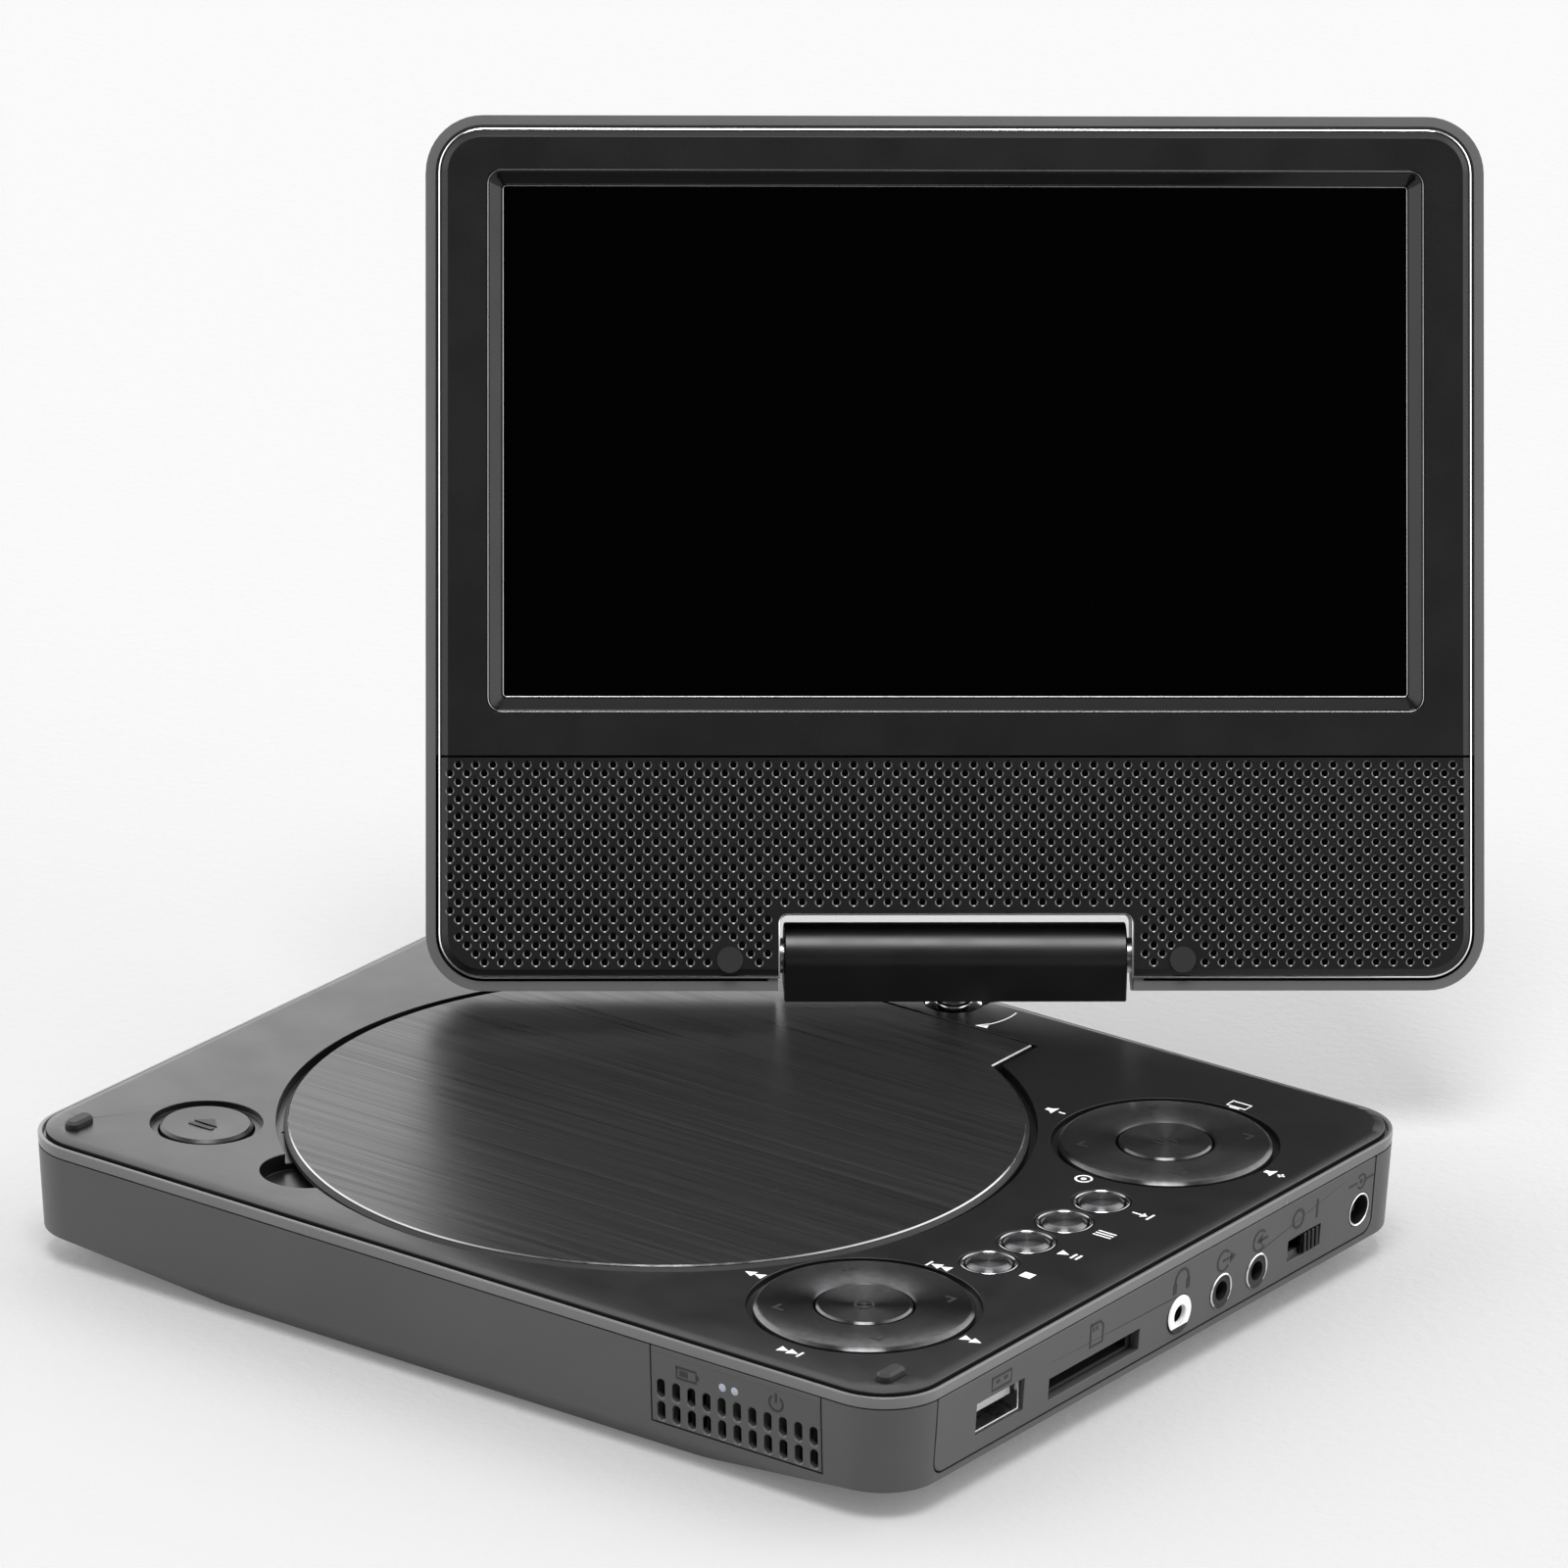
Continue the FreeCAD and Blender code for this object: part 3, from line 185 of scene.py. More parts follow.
BOARD = moulded("board_green", (0.008, 0.05, 0.018), 0.35, depth=0.01, grain=700)
WRAP = moulded("cell_wrap", (0.02, 0.05, 0.16), 0.35, depth=0.004)
GUIDE = moulded("light_guide", (0.55, 0.55, 0.55), 0.4, depth=0.01)
PRINT = moulded("white_print", (0.86, 0.86, 0.86), 0.5, depth=0.004)
ENGRAVED = moulded("engraved_mark", (0.010, 0.010, 0.010), 0.55, depth=0.01)
STEEL = metal("steel", (0.52, 0.52, 0.53), 0.30)
CHROME = metal("chrome", (0.78, 0.78, 0.79), 0.10, scratch=300)
EDGE = metal("cut_edge", (0.80, 0.80, 0.81), 0.16, scratch=400)
HOLE_RIM = metal("hole_rim", (0.11, 0.11, 0.11), 0.26, scratch=600)
LID_EDGE = metal("lid_cut_edge", (0.33, 0.33, 0.34), 0.22, scratch=400)
SPUN = spun_metal("spun_metal", (0.10, 0.10, 0.103), 0.26, 700, 0.85, 1.15)
SPUN_KEY = spun_metal("spun_key", (0.15, 0.15, 0.155), 0.25, 900, 0.9, 1.1)

glass = Look("display_glass", (0.0006, 0.0006, 0.0007), 0.07, Specular_IOR_Level=0.02)
glass.vary_rough(glass.noise(55, 3.0), 0.02)
GLASS = glass.mat

# the lid is brushed along X: noise stretched into fine lines, over wider bands of gloss
brushed = Look("brushed_lid", (0.040, 0.040, 0.0415), 0.33, 0.75)
streaks = brushed.noise(1.0, 6.0, 0.75, (14, 3600, 14))
brushed.vary_color(streaks, 0.30, 2.1)
brushed.bump(streaks, 0.6, 0.016)
brushed.vary_rough(brushed.noise(1.0, 3.0, 0.6, (7, 700, 7)), 0.07)
BRUSHED = brushed.mat


# ------------------------------------------------------------------ outlines, as lists of (x, y)
def arc(r, start, end, cx=0.0, cy=0.0, steps=14):
    return [(cx + r * cos(radians(start + (end - start) * i / steps)),
             cy + r * sin(radians(start + (end - start) * i / steps))) for i in range(steps + 1)]


def circle(r, cx=0.0, cy=0.0, count=48):
    return [(cx + r * cos(2 * pi * i / count), cy + r * sin(2 * pi * i / count)) for i in range(count)]


def rounded(w, h, r, cx=0.0, cy=0.0, steps=6):
    """Rounded rectangle, anticlockwise from its right side."""
    points = []
    for sx, sy, start in ((1, 1, 0), (-1, 1, 90), (-1, -1, 180), (1, -1, 270)):
        for i in range(steps + 1):
            a = radians(start + 90 * i / steps)
            points.append((cx + sx * (w / 2 - r) + r * cos(a), cy + sy * (h / 2 - r) + r * sin(a)))
    return points


def stroke(points, width):
    """Outline of a line of constant width through the points."""
    left, right = [], []
    for i, p in enumerate(points):
        before, after = points[max(i - 1, 0)], points[min(i + 1, len(points) - 1)]
        d = Vector((after[0] - before[0], after[1] - before[1])).normalized() * width / 2
        left.append((p[0] - d.y, p[1] + d.x))
        right.append((p[0] + d.y, p[1] - d.x))
    return left + right[::-1]


def bar(x0, x1, y0=-1.0, y1=1.0):
    return [(x0, y0), (x1, y0), (x1, y1), (x0, y1)]


def mirrored(points):
    return [(-x, y) for x, y in points[::-1]]


def inside(point, outline):
    x, y = point
    hit = False
    for (x0, y0), (x1, y1) in zip(outline, outline[1:] + outline[:1]):
        if (y0 > y) != (y1 > y) and x < (x1 - x0) * (y - y0) / (y1 - y0) + x0:
            hit = not hit
    return hit


# ------------------------------------------------------------------ mesh building
def finish_mesh(name, bm, body, mats, place=None, replaces=(), sharp=32):
    bmesh.ops.remove_doubles(bm, verts=bm.verts, dist=1e-7)
    bmesh.ops.recalc_face_normals(bm, faces=bm.faces)
    me = bpy.data.meshes.new(name)
    bm.to_mesh(me)
    bm.free()
    for m in mats:
        me.materials.append(m)
    me.polygons.foreach_set("use_smooth", [True] * len(me.polygons))
    me.set_sharp_from_angle(angle=radians(sharp))
    ob = bpy.data.objects.new(name, me)
    scene.collection.objects.link(ob)
    if place is not None:
        ob.matrix_world = place
    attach(ob, body)
    if replaces:
        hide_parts(*replaces)


def band(bm, low, high, z_low, z_high, mat=0):
    """Wall between two outlines with the same number of points."""
    a = [bm.verts.new(mm(x, y, z_low)) for x, y in low]
    b = [bm.verts.new(mm(x, y, z_high)) for x, y in high]
    for i in range(len(a)):
        j = (i + 1) % len(a)
        bm.faces.new((a[i], a[j], b[j], b[i])).material_index = mat
    return a, b


def prism_of(bm, outline, z_low, z_high):
    low, high = band(bm, outline, outline, z_low, z_high)
    bm.faces.new(low[::-1])
    bm.faces.new(high)


def sheet_with_holes(bm, outline, holes, z, in_hole):
    """Flat face with holes, filled by a constrained triangulation."""
    points, edges = [], []
    for loop in [outline] + holes:
        start = len(points)
        points += [Vector(p) for p in loop]
        edges += [(start + i, start + (i + 1) % len(loop)) for i in range(len(loop))]
    verts, _, faces, _, _, _ = delaunay_2d_cdt(points, edges, [], 0, 1e-6)
    made = [bm.verts.new(mm(v[0], v[1], z)) for v in verts]
    for face in faces:
        cx = sum(verts[i][0] for i in face) / len(face)
        cy = sum(verts[i][1] for i in face) / len(face)
        if inside((cx, cy), outline) and not in_hole(cx, cy):
            bm.faces.new([made[i] for i in face])


def turned(name, profile, body, mat, place, replaces=(), steps=96, closed=False):
    """Turn a profile of (radius, height) points about Z. Points with no radius close the end."""
    bm = bmesh.new()
    rings = []
    for r, z in profile + profile[:1] if closed else profile:
        points = circle(r, count=steps) if r > 0 else [(0, 0)]
        rings.append([bm.verts.new(mm(x, y, z)) for x, y in points])
    for a, b in zip(rings, rings[1:]):
        for i in range(steps):
            j = (i + 1) % steps
            corners = [a[i % len(a)], a[j % len(a)], b[j % len(b)], b[i % len(b)]]
            unique = list(dict.fromkeys(corners))
            if len(unique) > 2:
                bm.faces.new(unique)
    finish_mesh(name, bm, body, [mat], place, replaces)


def mark(name, shapes, place, body, mat, thickness, scale=1.0):
    """Printed or inlaid mark: thin plates lying on the surface, reaching a little into it."""
    bm = bmesh.new()
    for shape in shapes:
        prism_of(bm, [(x * scale, y * scale) for x, y in shape], -0.05, thickness)
    finish_mesh(name, bm, body, [mat], place, sharp=30)


def bead(name, outlines, heights, mat):
    """Narrow raised line on the screen: strips between outlines of one path, closed underneath."""
    bm = bmesh.new()
    for a, b, za, zb in zip(outlines, outlines[1:] + outlines[:1], heights, heights[1:] + heights[:1]):
        band(bm, a, b, za, zb)
    finish_mesh(name, bm, "screen", [mat], SCREEN, sharp=60)


# ------------------------------------------------------------------ CAD nodes that stay
def paint(mat, *nodes):
    for n in nodes:
        slots = frame["nodes"][n].data.materials
        slots.clear()
        slots.append(mat)


def welded(node):
    ob = frame["nodes"][node]
    ob.data.polygons.foreach_set("use_smooth", [True] * len(ob.data.polygons))
    ob.modifiers.new("weld", "WELD").merge_threshold = 1e-6
    return ob


def smooth_shell(node):
    """Even shading over a CAD node's rounds, with its corners kept."""
    ob = welded(node)
    ob.modifiers.new("corners", "EDGE_SPLIT").split_angle = radians(30)
    ob.modifiers.new("even", "WEIGHTED_NORMAL").weight = 100


def ease_edges(node, width):
    """Small rounding along a CAD node's sharp edges."""
    ob = welded(node)
    bevel = ob.modifiers.new("ease", "BEVEL")
    bevel.width = width * MM
    bevel.segments = 2
    bevel.limit_method = "ANGLE"
    bevel.angle_limit = radians(35)
    bevel.use_clamp_overlap = False
    even = ob.modifiers.new("even", "WEIGHTED_NORMAL")
    even.keep_sharp = True
    even.weight = 100


paint(CASE, "base_bottom_cover", "port_panel", "front_vent", "screen_rear_cover")
# the deck's trim frame takes the lighter plastic: painted sheen along the top of the walls
paint(RIM_PAINTED_SHEEN, "base_trim_frame")
paint(DECK_BLACK, "base_top_cover", "open_button")
paint(BEZEL_BLACK, "screen_bezel")
paint(BARREL_BLACK, "hinge_housing_front", "hinge_housing_rear")
paint(GLOSS_BLACK, "display_ring", "power_switch_knob")
paint(GLASS, "lcd_panel")
paint(INNER_BLACK, "disc_lid", "lid_latch", "pickup_sled", "power_switch_body", "card_socket",
      "av_out_jack", "av_in_jack", "dc_inlet", "drive_gear", "headphone_jack", "spindle_hub")
paint(RUBBER, "rubber_feet", "deck_bumpers", "grille_pads", "damper_bushes")
paint(STEEL, "case_screws", "screen_screws", "usb_socket", "drive_chassis", "spindle_motor",
      "guide_rods", "sled_motor", "gear_spindle", "swivel_bearing_plate", "swivel_nut",
      "hinge_bracket", "friction_sleeves", "tilt_shafts", "lid_hinge_pins", "speakers")
paint(CHROME, "swivel_post")
paint(BOARD, "main_board", "key_board", "screen_board")
paint(WRAP, "battery_cells")
paint(LENS_GLASS, "pickup_lens")
paint(GUIDE, "backlight_frame")

# the screen shell's front rim is glossier than its back, and painted lighter than it: painted sheen
RIM_BEHIND_FACE = 4.5
shell = frame["nodes"]["screen_rear_cover"]
shell.data.materials.append(RIM_PAINTED_SHEEN)
to_screen = SCREEN.inverted() @ shell.matrix_world
for polygon in shell.data.polygons:
    polygon.material_index = int((to_screen @ polygon.center).z > RIM_BEHIND_FACE * MM)

for node, width in (("base_top_cover", 0.12), ("base_trim_frame", 0.25), ("port_panel", 0.12),
                    ("screen_bezel", 0.12), ("display_ring", 0.12), ("hinge_housing_front", 0.3),
                    ("hinge_housing_rear", 0.3), ("front_vent", 0.1), ("power_switch_knob", 0.12),
                    ("usb_socket", 0.1)):
    ease_edges(node, width)
for node in ("screen_rear_cover", "base_bottom_cover", "disc_lid", "swivel_post", "rubber_feet",
             "open_button", "deck_bumpers"):
    smooth_shell(node)

# ------------------------------------------------------------------ screen face, in the SCREEN frame
SCREEN_W, SCREEN_H, BELOW = 194.6, 160.7, 6.5  # outline, and how far it reaches below the tilt axis
CORNER_R = 10.5
FACE_INSET, FACE_BEVEL, FACE = 2.7, 1.3, 7.2   # the face's edge, its chamfer and its height
GRILLE_TOP = 36.3
NOTCH_HALF, NOTCH_TOP, NOTCH_R = 32.7, 7.75, 1.8


def notch_path(y, grow=0.0):
    """From the left lower edge over the notch for the barrel to the right lower edge."""
    half, top, r = NOTCH_HALF + grow, NOTCH_TOP + grow, NOTCH_R + grow
    corner = [(half - r + r * cos(radians(a)), top - r + r * sin(radians(a)))
              for a in range(90, -1, -15)] + [(half, y)]
    return mirrored(corner) + corner


def grille_outline(inset):
    """Lower part of the screen face: rounded lower corners, notch, straight upper edge."""
    x, y, r = SCREEN_W / 2 - inset, -BELOW + inset, CORNER_R - inset
    right = [(x - r + r * cos(radians(a)), y + r + r * sin(radians(a))) for a in range(-90, 1, 9)]
    return [(x, GRILLE_TOP), (-x, GRILLE_TOP)] + mirrored(right) + notch_path(y) + right


def face_outline(inset):
    """The whole screen face, notch included."""
    x, y, top = SCREEN_W / 2 - inset, -BELOW + inset, SCREEN_H - BELOW - inset
    r = CORNER_R - inset
    right = arc(r, -90, 0, x - r, y + r, 10) + arc(r, 0, 90, x - r, top - r, 10)
    return mirrored(right) + notch_path(y, inset - FACE_INSET) + right


# field of holes: rows of PITCH, every other row shifted by half of it
HOLE_R, PITCH, ROW, TOP_ROW, ROWS, COLUMNS = 0.62, 3.15, 1.575, 35.0, 25, 31
HOLE_SIDES = 12
RIM_W, RIM_DEEP = 0.20, 0.11                  # chamfer round each hole
FIELD_HALF, FIELD_FOOT = 94.0, 5.0            # half width, and plain height above the face's foot
NOTCH_SIDE, NOTCH_ABOVE = 1.9, 1.6            # plain strip beside and above the notch
FIELD_CORNER, FIELD_CORNER_R = 13.2, 8.6      # centre of the field's rounded corner and its radius
GRILLE_PAD, PAD_CLEAR = (41.6, -0.75), 3.3    # the rubber rests and the plain disc round each
HOLE_DEPTH, HOLE_TAPER = 1.5, 0.92
SKIRT, SKIRT_DEPTH, SHADE_SHEET = 1.25, 1.7, 1.9    # depths of the chamfer's foot, wall's foot and the black sheet of painted shade


def hole_at(column, row):
    return PITCH * column + (ROW if row % 2 else 0.0), TOP_ROW - ROW * row


def is_plain(x, y):
    """Places of the grille that carry no hole."""
    corner_x, corner_y = abs(x) - (SCREEN_W / 2 - FIELD_CORNER), -BELOW + FIELD_CORNER - y
    return (abs(x) > FIELD_HALF - HOLE_R
            or abs(x) < NOTCH_HALF + NOTCH_SIDE and y < NOTCH_TOP + NOTCH_ABOVE
            or corner_x > 0 and corner_y > 0 and hypot(corner_x, corner_y) > FIELD_CORNER_R
            or y < -BELOW + FIELD_FOOT
            or hypot(abs(x) - GRILLE_PAD[0], y - GRILLE_PAD[1]) < PAD_CLEAR)


holes = {(i, j): hole_at(i, j) for j in range(ROWS) for i in range(-COLUMNS, COLUMNS + 1)
         if not is_plain(*hole_at(i, j))}


def in_grille_hole(x, y):
    nearest = round((TOP_ROW - y) / ROW)
    for j in (nearest - 1, nearest, nearest + 1):
        i = round((x - (ROW if j % 2 else 0.0)) / PITCH)
        if (i, j) in holes and hypot(x - holes[i, j][0], y - holes[i, j][1]) < HOLE_R + RIM_W * 0.7:
            return True
    return False


bm = bmesh.new()
top_outline, low_outline = grille_outline(FACE_INSET + FACE_BEVEL), grille_outline(FACE_INSET)
rims = [circle(HOLE_R + RIM_W, x, y, HOLE_SIDES) for x, y in holes.values()]
sheet_with_holes(bm, top_outline, rims, FACE, in_grille_hole)
for (x, y), rim in zip(holes.values(), rims):
    mouth = circle(HOLE_R, x, y, HOLE_SIDES)
    band(bm, rim, mouth, FACE, FACE - RIM_DEEP, 1)
    band(bm, mouth, circle(HOLE_R * HOLE_TAPER, x, y, HOLE_SIDES), FACE - RIM_DEEP, FACE - HOLE_DEPTH)
band(bm, low_outline, top_outline, FACE - SKIRT, FACE)
band(bm, low_outline, low_outline, FACE - SKIRT_DEPTH, FACE - SKIRT)
finish_mesh("grille_face", bm, "screen", [BEZEL_BLACK, HOLE_RIM], SCREEN, ("speaker_grille",), sharp=24)
# black sheet behind the holes: painted shade that keeps them dark
bm = bmesh.new()
prism_of(bm, low_outline, FACE - SHADE_SHEET, FACE - SKIRT_DEPTH)
finish_mesh("grille_shade_sheet", bm, "screen", [INNER_BLACK], SCREEN)

# polished line at the foot of the face's chamfer
FOOT = FACE - FACE_BEVEL
bead("face_bead", [face_outline(FACE_INSET + d) for d in (-0.36, -0.26, -0.06, 0.03)],
     [FOOT, FOOT + 0.16, FOOT + 0.20, FOOT + 0.05], EDGE)

# bright lips round the display: name, distance from its edge, corner radius, height, half width
DISPLAY_W, DISPLAY_H, DISPLAY_Y, RING = 166.0, 93.4, 94.4, 3.2
for name, grow, r, z, wide in (("display_lip", 0.14, 0.6, 5.1, 0.11),
                               ("display_rim", RING - 0.28, 2.5, FACE - 0.02, 0.09)):
    loops = [rounded(DISPLAY_W + 2 * (grow + d), DISPLAY_H + 2 * (grow + d), r + d, 0, DISPLAY_Y)
             for d in (-wide, -wide / 2, wide / 2, wide)]
    bead(name, loops, [z, z + 0.14, z + 0.18, z + 0.05], LID_EDGE)

# ------------------------------------------------------------------ disc lid's brushed plate
LID, LID_R, LID_TOP, LID_THICK = (-9.4, -5.4), 66.3, 24.8, 0.4
TAB_HALF, TAB_REAR = 33.2, 64.4               # the tab that runs back to the lid's hinge
LID_CHAMFER, LID_CHAMFER_DEPTH = 0.2, 0.26


def lid_outline(inset):
    r, half, rear = LID_R - inset, TAB_HALF - inset, TAB_REAR - inset
    start = math.degrees(math.acos(half / r))
    return [(LID[0] - half, rear)] + arc(r, -180 - start, start, *LID, 200) + [(LID[0] + half, rear)]


bm = bmesh.new()
outer, inner = lid_outline(0.0), lid_outline(LID_CHAMFER)
band(bm, outer, outer, LID_TOP - LID_THICK, LID_TOP - LID_CHAMFER_DEPTH, 1)
band(bm, outer, inner, LID_TOP - LID_CHAMFER_DEPTH, LID_TOP, 1)
bm.faces.new([bm.verts.new(mm(x, y, LID_TOP)) for x, y in inner])
bm.faces.new([bm.verts.new(mm(x, y, LID_TOP - LID_THICK)) for x, y in reversed(outer)])
finish_mesh("lid_face", bm, "lid", [BRUSHED, LID_EDGE], None, ("lid_brushed_plate",), sharp=20)

# ------------------------------------------------------------------ pads and keys in spun metal
PADS = {"rear": (68.6, 42.3), "front": (68.6, -49.6)}
PAD_RING = [(8.9, -0.85), (8.9, 0.0), (9.5, 0.36), (18.35, 0.40), (18.8, 0.22), (19.3, -0.25),
            (19.3, -0.85)]
PAD_CAP = [(0, 0.10), (5.5, 0.16), (7.8, 0.38), (8.1, 0.40), (8.5, 0.05), (8.5, -1.6), (0, -1.6)]
PAD_ARROW = [(-1.5, -0.7), (0, 1.0), (1.5, -0.7), (1.0, -1.0), (0, 0.15), (-1.0, -1.0)]
ARROW_R, ARROW_Z = 15.3, DECK + 0.36
for label, (x, y) in PADS.items():
    turned(f"{label}_pad_disc", PAD_RING, f"{label}_ring", SPUN, on_deck(x, y), (f"{label}_pad_ring",),
           closed=True)
    turned(f"{label}_pad_cap", PAD_CAP, f"{label}_centre", SPUN, on_deck(x, y),
           (f"{label}_pad_button",))
    for i in range(4):
        turn = Matrix.Rotation(radians(90 * i - 45), 4, "Z")
        place = on_deck(x, y, ARROW_Z) @ turn @ Matrix.Translation(mm(0, ARROW_R, 0))
        mark(f"{label}_arrow_{i}", [PAD_ARROW], place, f"{label}_ring", ENGRAVED, 0.10)

KEY_X, KEYS = 74.8, [("display", 13.3), ("source", 1.85), ("input", -9.6), ("setup", -21.05)]
KEY_CAP = [(0, 0.32), (2.9, 0.30), (3.35, 0.22), (4.1, -0.35), (4.15, -1.4), (0, -1.4)]
COLLAR = [(4.5, -0.45), (4.6, -0.08), (4.75, 0.05), (5.0, 0.05), (5.1, -0.04), (5.1, -0.48)]
for name, y in KEYS:
    turned(f"{name}_key_cap", KEY_CAP, f"{name}_key", SPUN_KEY, on_deck(KEY_X, y),
           (f"{name}_button",), steps=64)
    turned(f"{name}_collar", COLLAR, "base", LID_EDGE, on_deck(KEY_X, y), steps=64, closed=True)

# ------------------------------------------------------------------ symbols printed on the deck
PRINTED, PRINT_SCALE, INLAID = 0.03, 1.05, 0.10


def pointer(dx, flip=1):
    """Triangle pointing right, or left where flip is -1."""
    out = [(flip * x + dx, y) for x, y in ((-1.0, -1.0), (0.9, 0.0), (-1.0, 1.0))]
    return out if flip > 0 else out[::-1]


speaker = [(-1.6, -0.5), (-0.8, -0.5), (0.2, -1.3), (0.2, 1.3), (-0.8, 0.5), (-1.6, 0.5)]
DECK_ICONS = {
    "icon_play_pause": ((83.9, -9.8), [pointer(-0.8), bar(0.8, 1.25), bar(1.8, 2.25)]),
    "icon_stop": ((83.4, -21.6), [bar(-1.1, 1.1)]),
    "icon_previous": ((69.3, -27.9), [bar(-2.5, -2.1), pointer(-1.0, -1), pointer(0.9, -1)]),
    "icon_rewind": ((45.5, -50.5), [pointer(-0.9, -1), pointer(1.0, -1)]),
    "icon_next": ((69.8, -73.4), [pointer(-0.9), pointer(1.0), bar(2.1, 2.5)]),
    "icon_forward": ((92.0, -50.3), [pointer(-1.0), pointer(0.9)]),
    "icon_quieter": ((44.5, 42.0), [speaker, bar(1.0, 2.3, -0.2, 0.2)]),
    "icon_louder": ((91.7, 42.4), [speaker, bar(1.0, 2.4, -0.2, 0.2), bar(1.5, 1.9, -0.7, 0.7)]),
    "icon_display": ((69.4, 64.6), [
        stroke([(-1.9, 1.1), (1.9, 1.1), (1.9, -0.9), (-1.9, -0.9), (-1.9, 1.4)], 0.35),
        bar(-1.0, 1.0, -1.6, -1.25)]),
    "icon_source": ((66.6, 19.6), [stroke(arc(1.4, 0, 350), 0.4), stroke(arc(0.35, 0, 350), 0.35)]),
    "icon_input": ((84.0, 12.6), [bar(-1.9, 0.2, -0.2, 0.2), [(0.0, -0.9), (1.1, 0.0), (0.0, 0.9)],
                                  bar(1.5, 1.9, -1.2, 1.2)]),
    "icon_setup": ((83.8, 1.4), [bar(-1.8, 1.8, 0.7, 1.05), bar(-1.8, 1.8, -0.18, 0.18),
                                 bar(-1.8, 1.8, -1.05, -0.7)]),
}
for name, ((x, y), shapes) in DECK_ICONS.items():
    mark(name, shapes, on_deck(x, y), "base", PRINT, PRINTED, PRINT_SCALE)
mark("open_symbol", [[(-2.6, -0.2), (2.6, -0.2), (0, 2.4)], bar(-2.6, 2.6, -1.9, -1.0)],
     on_deck(-72.1, -56.4, DECK - 0.16), "open_key", ENGRAVED, INLAID)
mark("rear_pad_symbol",
     [bar(-1.7, 1.7, 0.9, 1.35), bar(-1.7, 1.7, -0.22, 0.22), bar(-1.7, 1.7, -1.35, -0.9)],
     on_deck(*PADS["rear"], DECK + 0.12), "rear_centre", ENGRAVED, INLAID)
mark("front_pad_symbol", [stroke(arc(1.6, 0, 352, steps=30), 0.45)],
     on_deck(*PADS["front"], DECK + 0.12), "front_centre", ENGRAVED, INLAID)
mark("swivel_arrow",
     [stroke(arc(12.6, 12, -30, 0, 73.2), 0.3), [(12.4, 66.4), (9.9, 66.2), (11.4, 68.6)]],
     on_deck(0, 0), "base", PRINT, PRINTED)

# ------------------------------------------------------------------ symbols and lamps on the walls
ON_SIDE, ON_VENT = 0.05, 0.09                 # how proud the marks stand on side wall and vent plate
WALL_ICONS = [
    ("icon_headphones", on_right_wall(5.4, 18.0), ON_SIDE, 1.35, [
        stroke(arc(1.5, -20, 200, 0, 0.2), 0.4), bar(-1.9, -1.1, -1.5, 0.0), bar(1.1, 1.9, -1.5, 0.0)]),
    ("icon_usb_plug", on_right_wall(-49.3, 18.3), ON_SIDE, 1.3, [
        stroke([(-2.2, 0.9), (2.2, 0.9), (2.2, -0.9), (-2.2, -0.9), (-2.2, 1.1)], 0.35),
        bar(-1.3, -0.5, -0.1, 0.4), bar(0.5, 1.3, -0.1, 0.4)]),
    ("icon_card", on_right_wall(-20.7, 17.0), ON_SIDE, 1.4, [
        stroke([(-1.3, 1.5), (0.7, 1.5), (1.4, 0.8), (1.4, -1.5), (-1.3, -1.5), (-1.3, 1.7)], 0.35),
        bar(-0.8, -0.5, 0.5, 1.1), bar(-0.1, 0.2, 0.5, 1.1)]),
    ("icon_signal_out", on_right_wall(18.6, 17.3), ON_SIDE, 1.3, [
        stroke(arc(1.5, 40, 320), 0.35), bar(-0.2, 2.0, -0.18, 0.18),
        [(1.6, -0.8), (2.9, 0.0), (1.6, 0.8)]]),
    ("icon_signal_in", on_right_wall(29.9, 17.3), ON_SIDE, 1.3, [
        stroke(arc(1.5, 40, 320), 0.35), bar(-0.2, 2.0, -0.18, 0.18),
        [(0.6, -0.8), (0.6, 0.8), (-0.7, 0.0)]]),
    ("icon_power", on_right_wall(45.3, 17.4), ON_SIDE, 1.3, [
        stroke(arc(1.3, 0, 352, -2.4, 0, 24), 0.4), bar(2.0, 2.45, -1.4, 1.4)]),
    ("icon_inlet", on_right_wall(62.3, 17.9), ON_SIDE, 1.2, [
        stroke(arc(1.1, -140, 140, 0, 0, 24), 0.35), circle(0.4, count=16),
        bar(-3.3, -1.1, -0.17, 0.17), bar(1.1, 3.3, -0.17, 0.17)]),
    ("icon_charge", on_front_wall(53.0, 17.6), ON_VENT, 1.3, [
        stroke([(-1.7, 0.8), (1.5, 0.8), (1.5, -0.8), (-1.7, -0.8), (-1.7, 1.0)], 0.32),
        bar(1.5, 1.95, -0.35, 0.35), bar(-1.25, 0.1, -0.4, 0.4)]),
    ("icon_running", on_front_wall(72.0, 17.6), ON_VENT, 1.3, [
        stroke(arc(1.1, 125, 415, 0, 0, 24), 0.32), bar(-0.17, 0.17, 0.1, 1.5)]),
]
for name, place, proud, scale, shapes in WALL_ICONS:
    mark(name, shapes, place, "base", ENGRAVED, proud, scale)
LAMP = [(0, 0.16), (0.5, 0.13), (0.75, 0.06), (0.75, -0.3), (0, -0.3)]
for i, x in enumerate((60.6, 63.2)):
    turned(f"indicator_lamp_{i}", LAMP, "base", LENS_GLASS, on_front_wall(x, 17.4), steps=24)

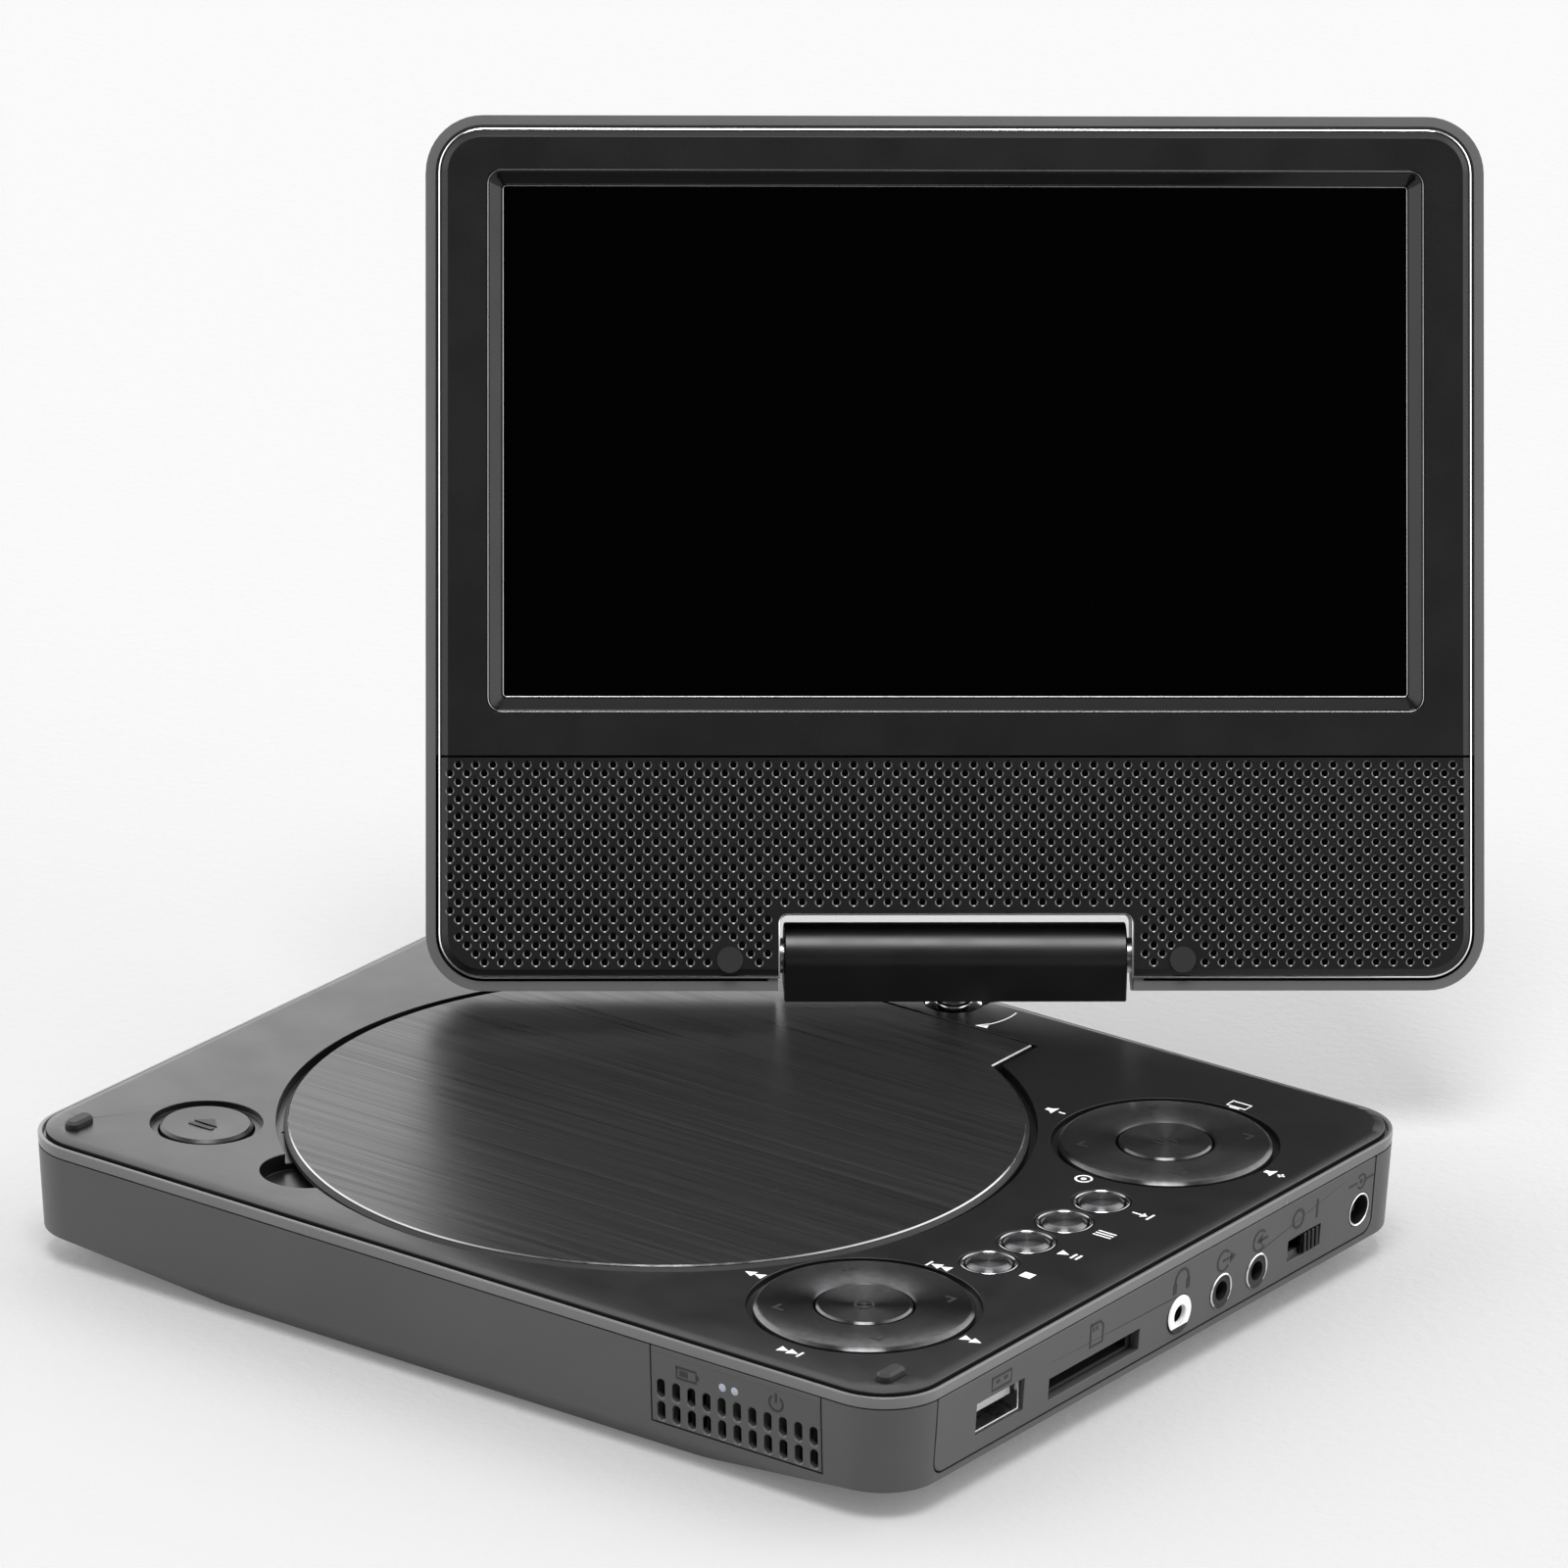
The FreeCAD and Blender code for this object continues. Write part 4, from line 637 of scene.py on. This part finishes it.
# ------------------------------------------------------------------ front vent
VENT_LEFT, VENT_RIGHT, VENT_LOW, VENT_HIGH = 45.45, 81.25, 7.15, 20.2
VENT_X, VENT_Z = (VENT_LEFT + VENT_RIGHT) / 2, (VENT_LOW + VENT_HIGH) / 2
SLOT_W, SLOT_H, SLOT_PITCH, SLOT_X, SLOT_LEVELS, SLOT_COUNT = 1.7, 3.6, 3.26, 47.25, (9.2, 13.5), 11
SLOT_RIM, SLOT_RIM_DEEP, SLOT_DEPTH = 0.18, 0.16, 1.2
PLATE_TOP, PLATE_FOOT = 0.04, -0.5
slots = [(SLOT_X + SLOT_PITCH * i - VENT_X, level - VENT_Z)
         for i in range(SLOT_COUNT) for level in SLOT_LEVELS]


def slot_outline(cx, cy, grow=0.0):
    return rounded(SLOT_W + 2 * grow, SLOT_H + 2 * grow, SLOT_W / 2 + grow - 0.02, cx, cy, 5)


def in_slot(x, y):
    return any(inside((x, y), slot_outline(cx, cy, SLOT_RIM - 0.02)) for cx, cy in slots
               if abs(x - cx) < SLOT_W and abs(y - cy) < SLOT_H)


bm = bmesh.new()
plate = rounded(VENT_RIGHT - VENT_LEFT, VENT_HIGH - VENT_LOW, 0.4, 0, 0, 3)
sheet_with_holes(bm, plate, [slot_outline(cx, cy, SLOT_RIM) for cx, cy in slots], PLATE_TOP, in_slot)
for cx, cy in slots:
    mouth = slot_outline(cx, cy)
    band(bm, slot_outline(cx, cy, SLOT_RIM), mouth, PLATE_TOP, -SLOT_RIM_DEEP, 1)
    band(bm, mouth, mouth, -SLOT_RIM_DEEP, -SLOT_DEPTH)
band(bm, plate, plate, PLATE_FOOT, PLATE_TOP)
# the slots' chamfers take the lighter plastic: painted highlight on the slot edges
finish_mesh("vent_face", bm, "base", [CASE, RIM_PAINTED_SHEEN], on_front_wall(VENT_X, VENT_Z), sharp=24)

# ------------------------------------------------------------------ socket rings
JACK_Z, INLET = 11.6, (62.3, 12.3)
for name, y, r, width, mat in (("headphone", 5.3, 3.55, 1.7, PRINT), ("av_out", 18.3, 3.3, 0.32, EDGE),
                               ("av_in", 29.5, 3.3, 0.32, EDGE)):
    bore = r - width - 0.15
    ring = [(r, -0.6), (r, 0.12), (r - 0.14, 0.24), (r - width, 0.24), (bore, 0.0), (bore, -0.6)]
    turned(f"{name}_ring", ring, "base", mat, on_right_wall(y, JACK_Z), closed=True, steps=48)
turned("inlet_ring", [(3.15, -0.5), (3.15, 0.02), (3.0, 0.10), (2.8, 0.0), (2.8, -0.5)], "base", EDGE,
       on_right_wall(*INLET), closed=True, steps=48)

# ------------------------------------------------------------------ floor
bm = bmesh.new()
bmesh.ops.create_grid(bm, x_segments=2, y_segments=2, size=30)
me = bpy.data.meshes.new("floor")
bm.to_mesh(me)
bm.free()
paper = Look("floor_paper", (0.425, 0.425, 0.425), 0.9, Specular_IOR_Level=0.1,
             Emission_Color=(1, 1, 1, 1), Emission_Strength=0.13)
paper.bump(paper.noise(420, 3.0, 0.6), 0.35, 0.6)
me.materials.append(paper.mat)
floor = bpy.data.objects.new("floor", me)
scene.collection.objects.link(floor)

# ------------------------------------------------------------------ studio light
world = bpy.data.worlds.new("studio")
scene.world = world
world.use_nodes = True
wn, wl = world.node_tree.nodes, world.node_tree.links
direction = wn.new("ShaderNodeTexCoord").outputs["Generated"]


def world_lobe(towards, start, end, low, high):
    """Soft light from one side: low to high as the cosine of the angle goes from start to end."""
    dot = wn.new("ShaderNodeVectorMath")
    dot.operation = "DOT_PRODUCT"
    dot.inputs[1].default_value = Vector(towards).normalized()
    wl.new(direction, dot.inputs[0])
    ramp = wn.new("ShaderNodeMapRange")
    ramp.interpolation_type = "SMOOTHSTEP"
    Look.set(ramp, From_Min=start, From_Max=end, To_Min=low, To_Max=high)
    wl.new(dot.outputs["Value"], ramp.inputs["Value"])
    return ramp.outputs["Result"]


def world_sum(a, b):
    add = wn.new("ShaderNodeMath")
    wl.new(a, add.inputs[0])
    wl.new(b, add.inputs[1])
    return add.outputs["Value"]


behind = world_lobe((-0.55, 0.80, 0.20), 0.15, 0.88, 0.11, 2.1)
left = world_lobe((-0.8, -0.55, 0.15), 0.5, 1.0, 0.0, 2.4)
right = world_lobe((0.8, 0.55, 0.2), 0.5, 1.0, 0.0, 2.6)
Look.set(wn["Background"], Color=(1, 1, 1, 1))
wl.new(world_sum(world_sum(left, right), behind), wn["Background"].inputs["Strength"])

SUN_TOWARDS, SUN_STRENGTH, SUN_SPREAD = (0.20, -0.28, 0.94), 2.2, 28
light = bpy.data.lights.new("top_light", "SUN")
light.energy, light.angle = SUN_STRENGTH, radians(SUN_SPREAD)
sun = bpy.data.objects.new("top_light", light)
scene.collection.objects.link(sun)
sun.rotation_euler = Vector(SUN_TOWARDS).to_track_quat("Z", "Y").to_euler()

# ------------------------------------------------------------------ camera
# solved from the outline of the object in the photograph
AZIMUTH, ELEVATION, ROLL, DISTANCE = radians(35.98), radians(21.11), radians(0.83), 2046.6
SHIFT_X, SHIFT_Y = 12.05, 60.81               # of the camera across its own view
FOCAL_PX, PHOTO_PX, SENSOR = 11632, 1600, 36
back = Vector((sin(AZIMUTH) * cos(ELEVATION), -cos(AZIMUTH) * cos(ELEVATION), sin(ELEVATION)))
level = Vector((cos(AZIMUTH), sin(AZIMUTH), 0))
upright = back.cross(level)
cam_x = level * cos(ROLL) + upright * sin(ROLL)
cam_y = upright * cos(ROLL) - level * sin(ROLL)
camera = bpy.data.objects.new("camera", bpy.data.cameras.new("camera"))
scene.collection.objects.link(camera)
camera.data.sensor_width = SENSOR
camera.data.lens = FOCAL_PX / PHOTO_PX * SENSOR
camera.data.clip_start, camera.data.clip_end = 0.05, 100
spot = back * DISTANCE + cam_x * SHIFT_X + cam_y * SHIFT_Y + Vector((0, 0, DECK))
camera.matrix_world = Matrix.Translation(spot * MM) @ Matrix((cam_x, cam_y, back)).transposed().to_4x4()
scene.camera = camera
scene.view_settings.view_transform = "Standard"
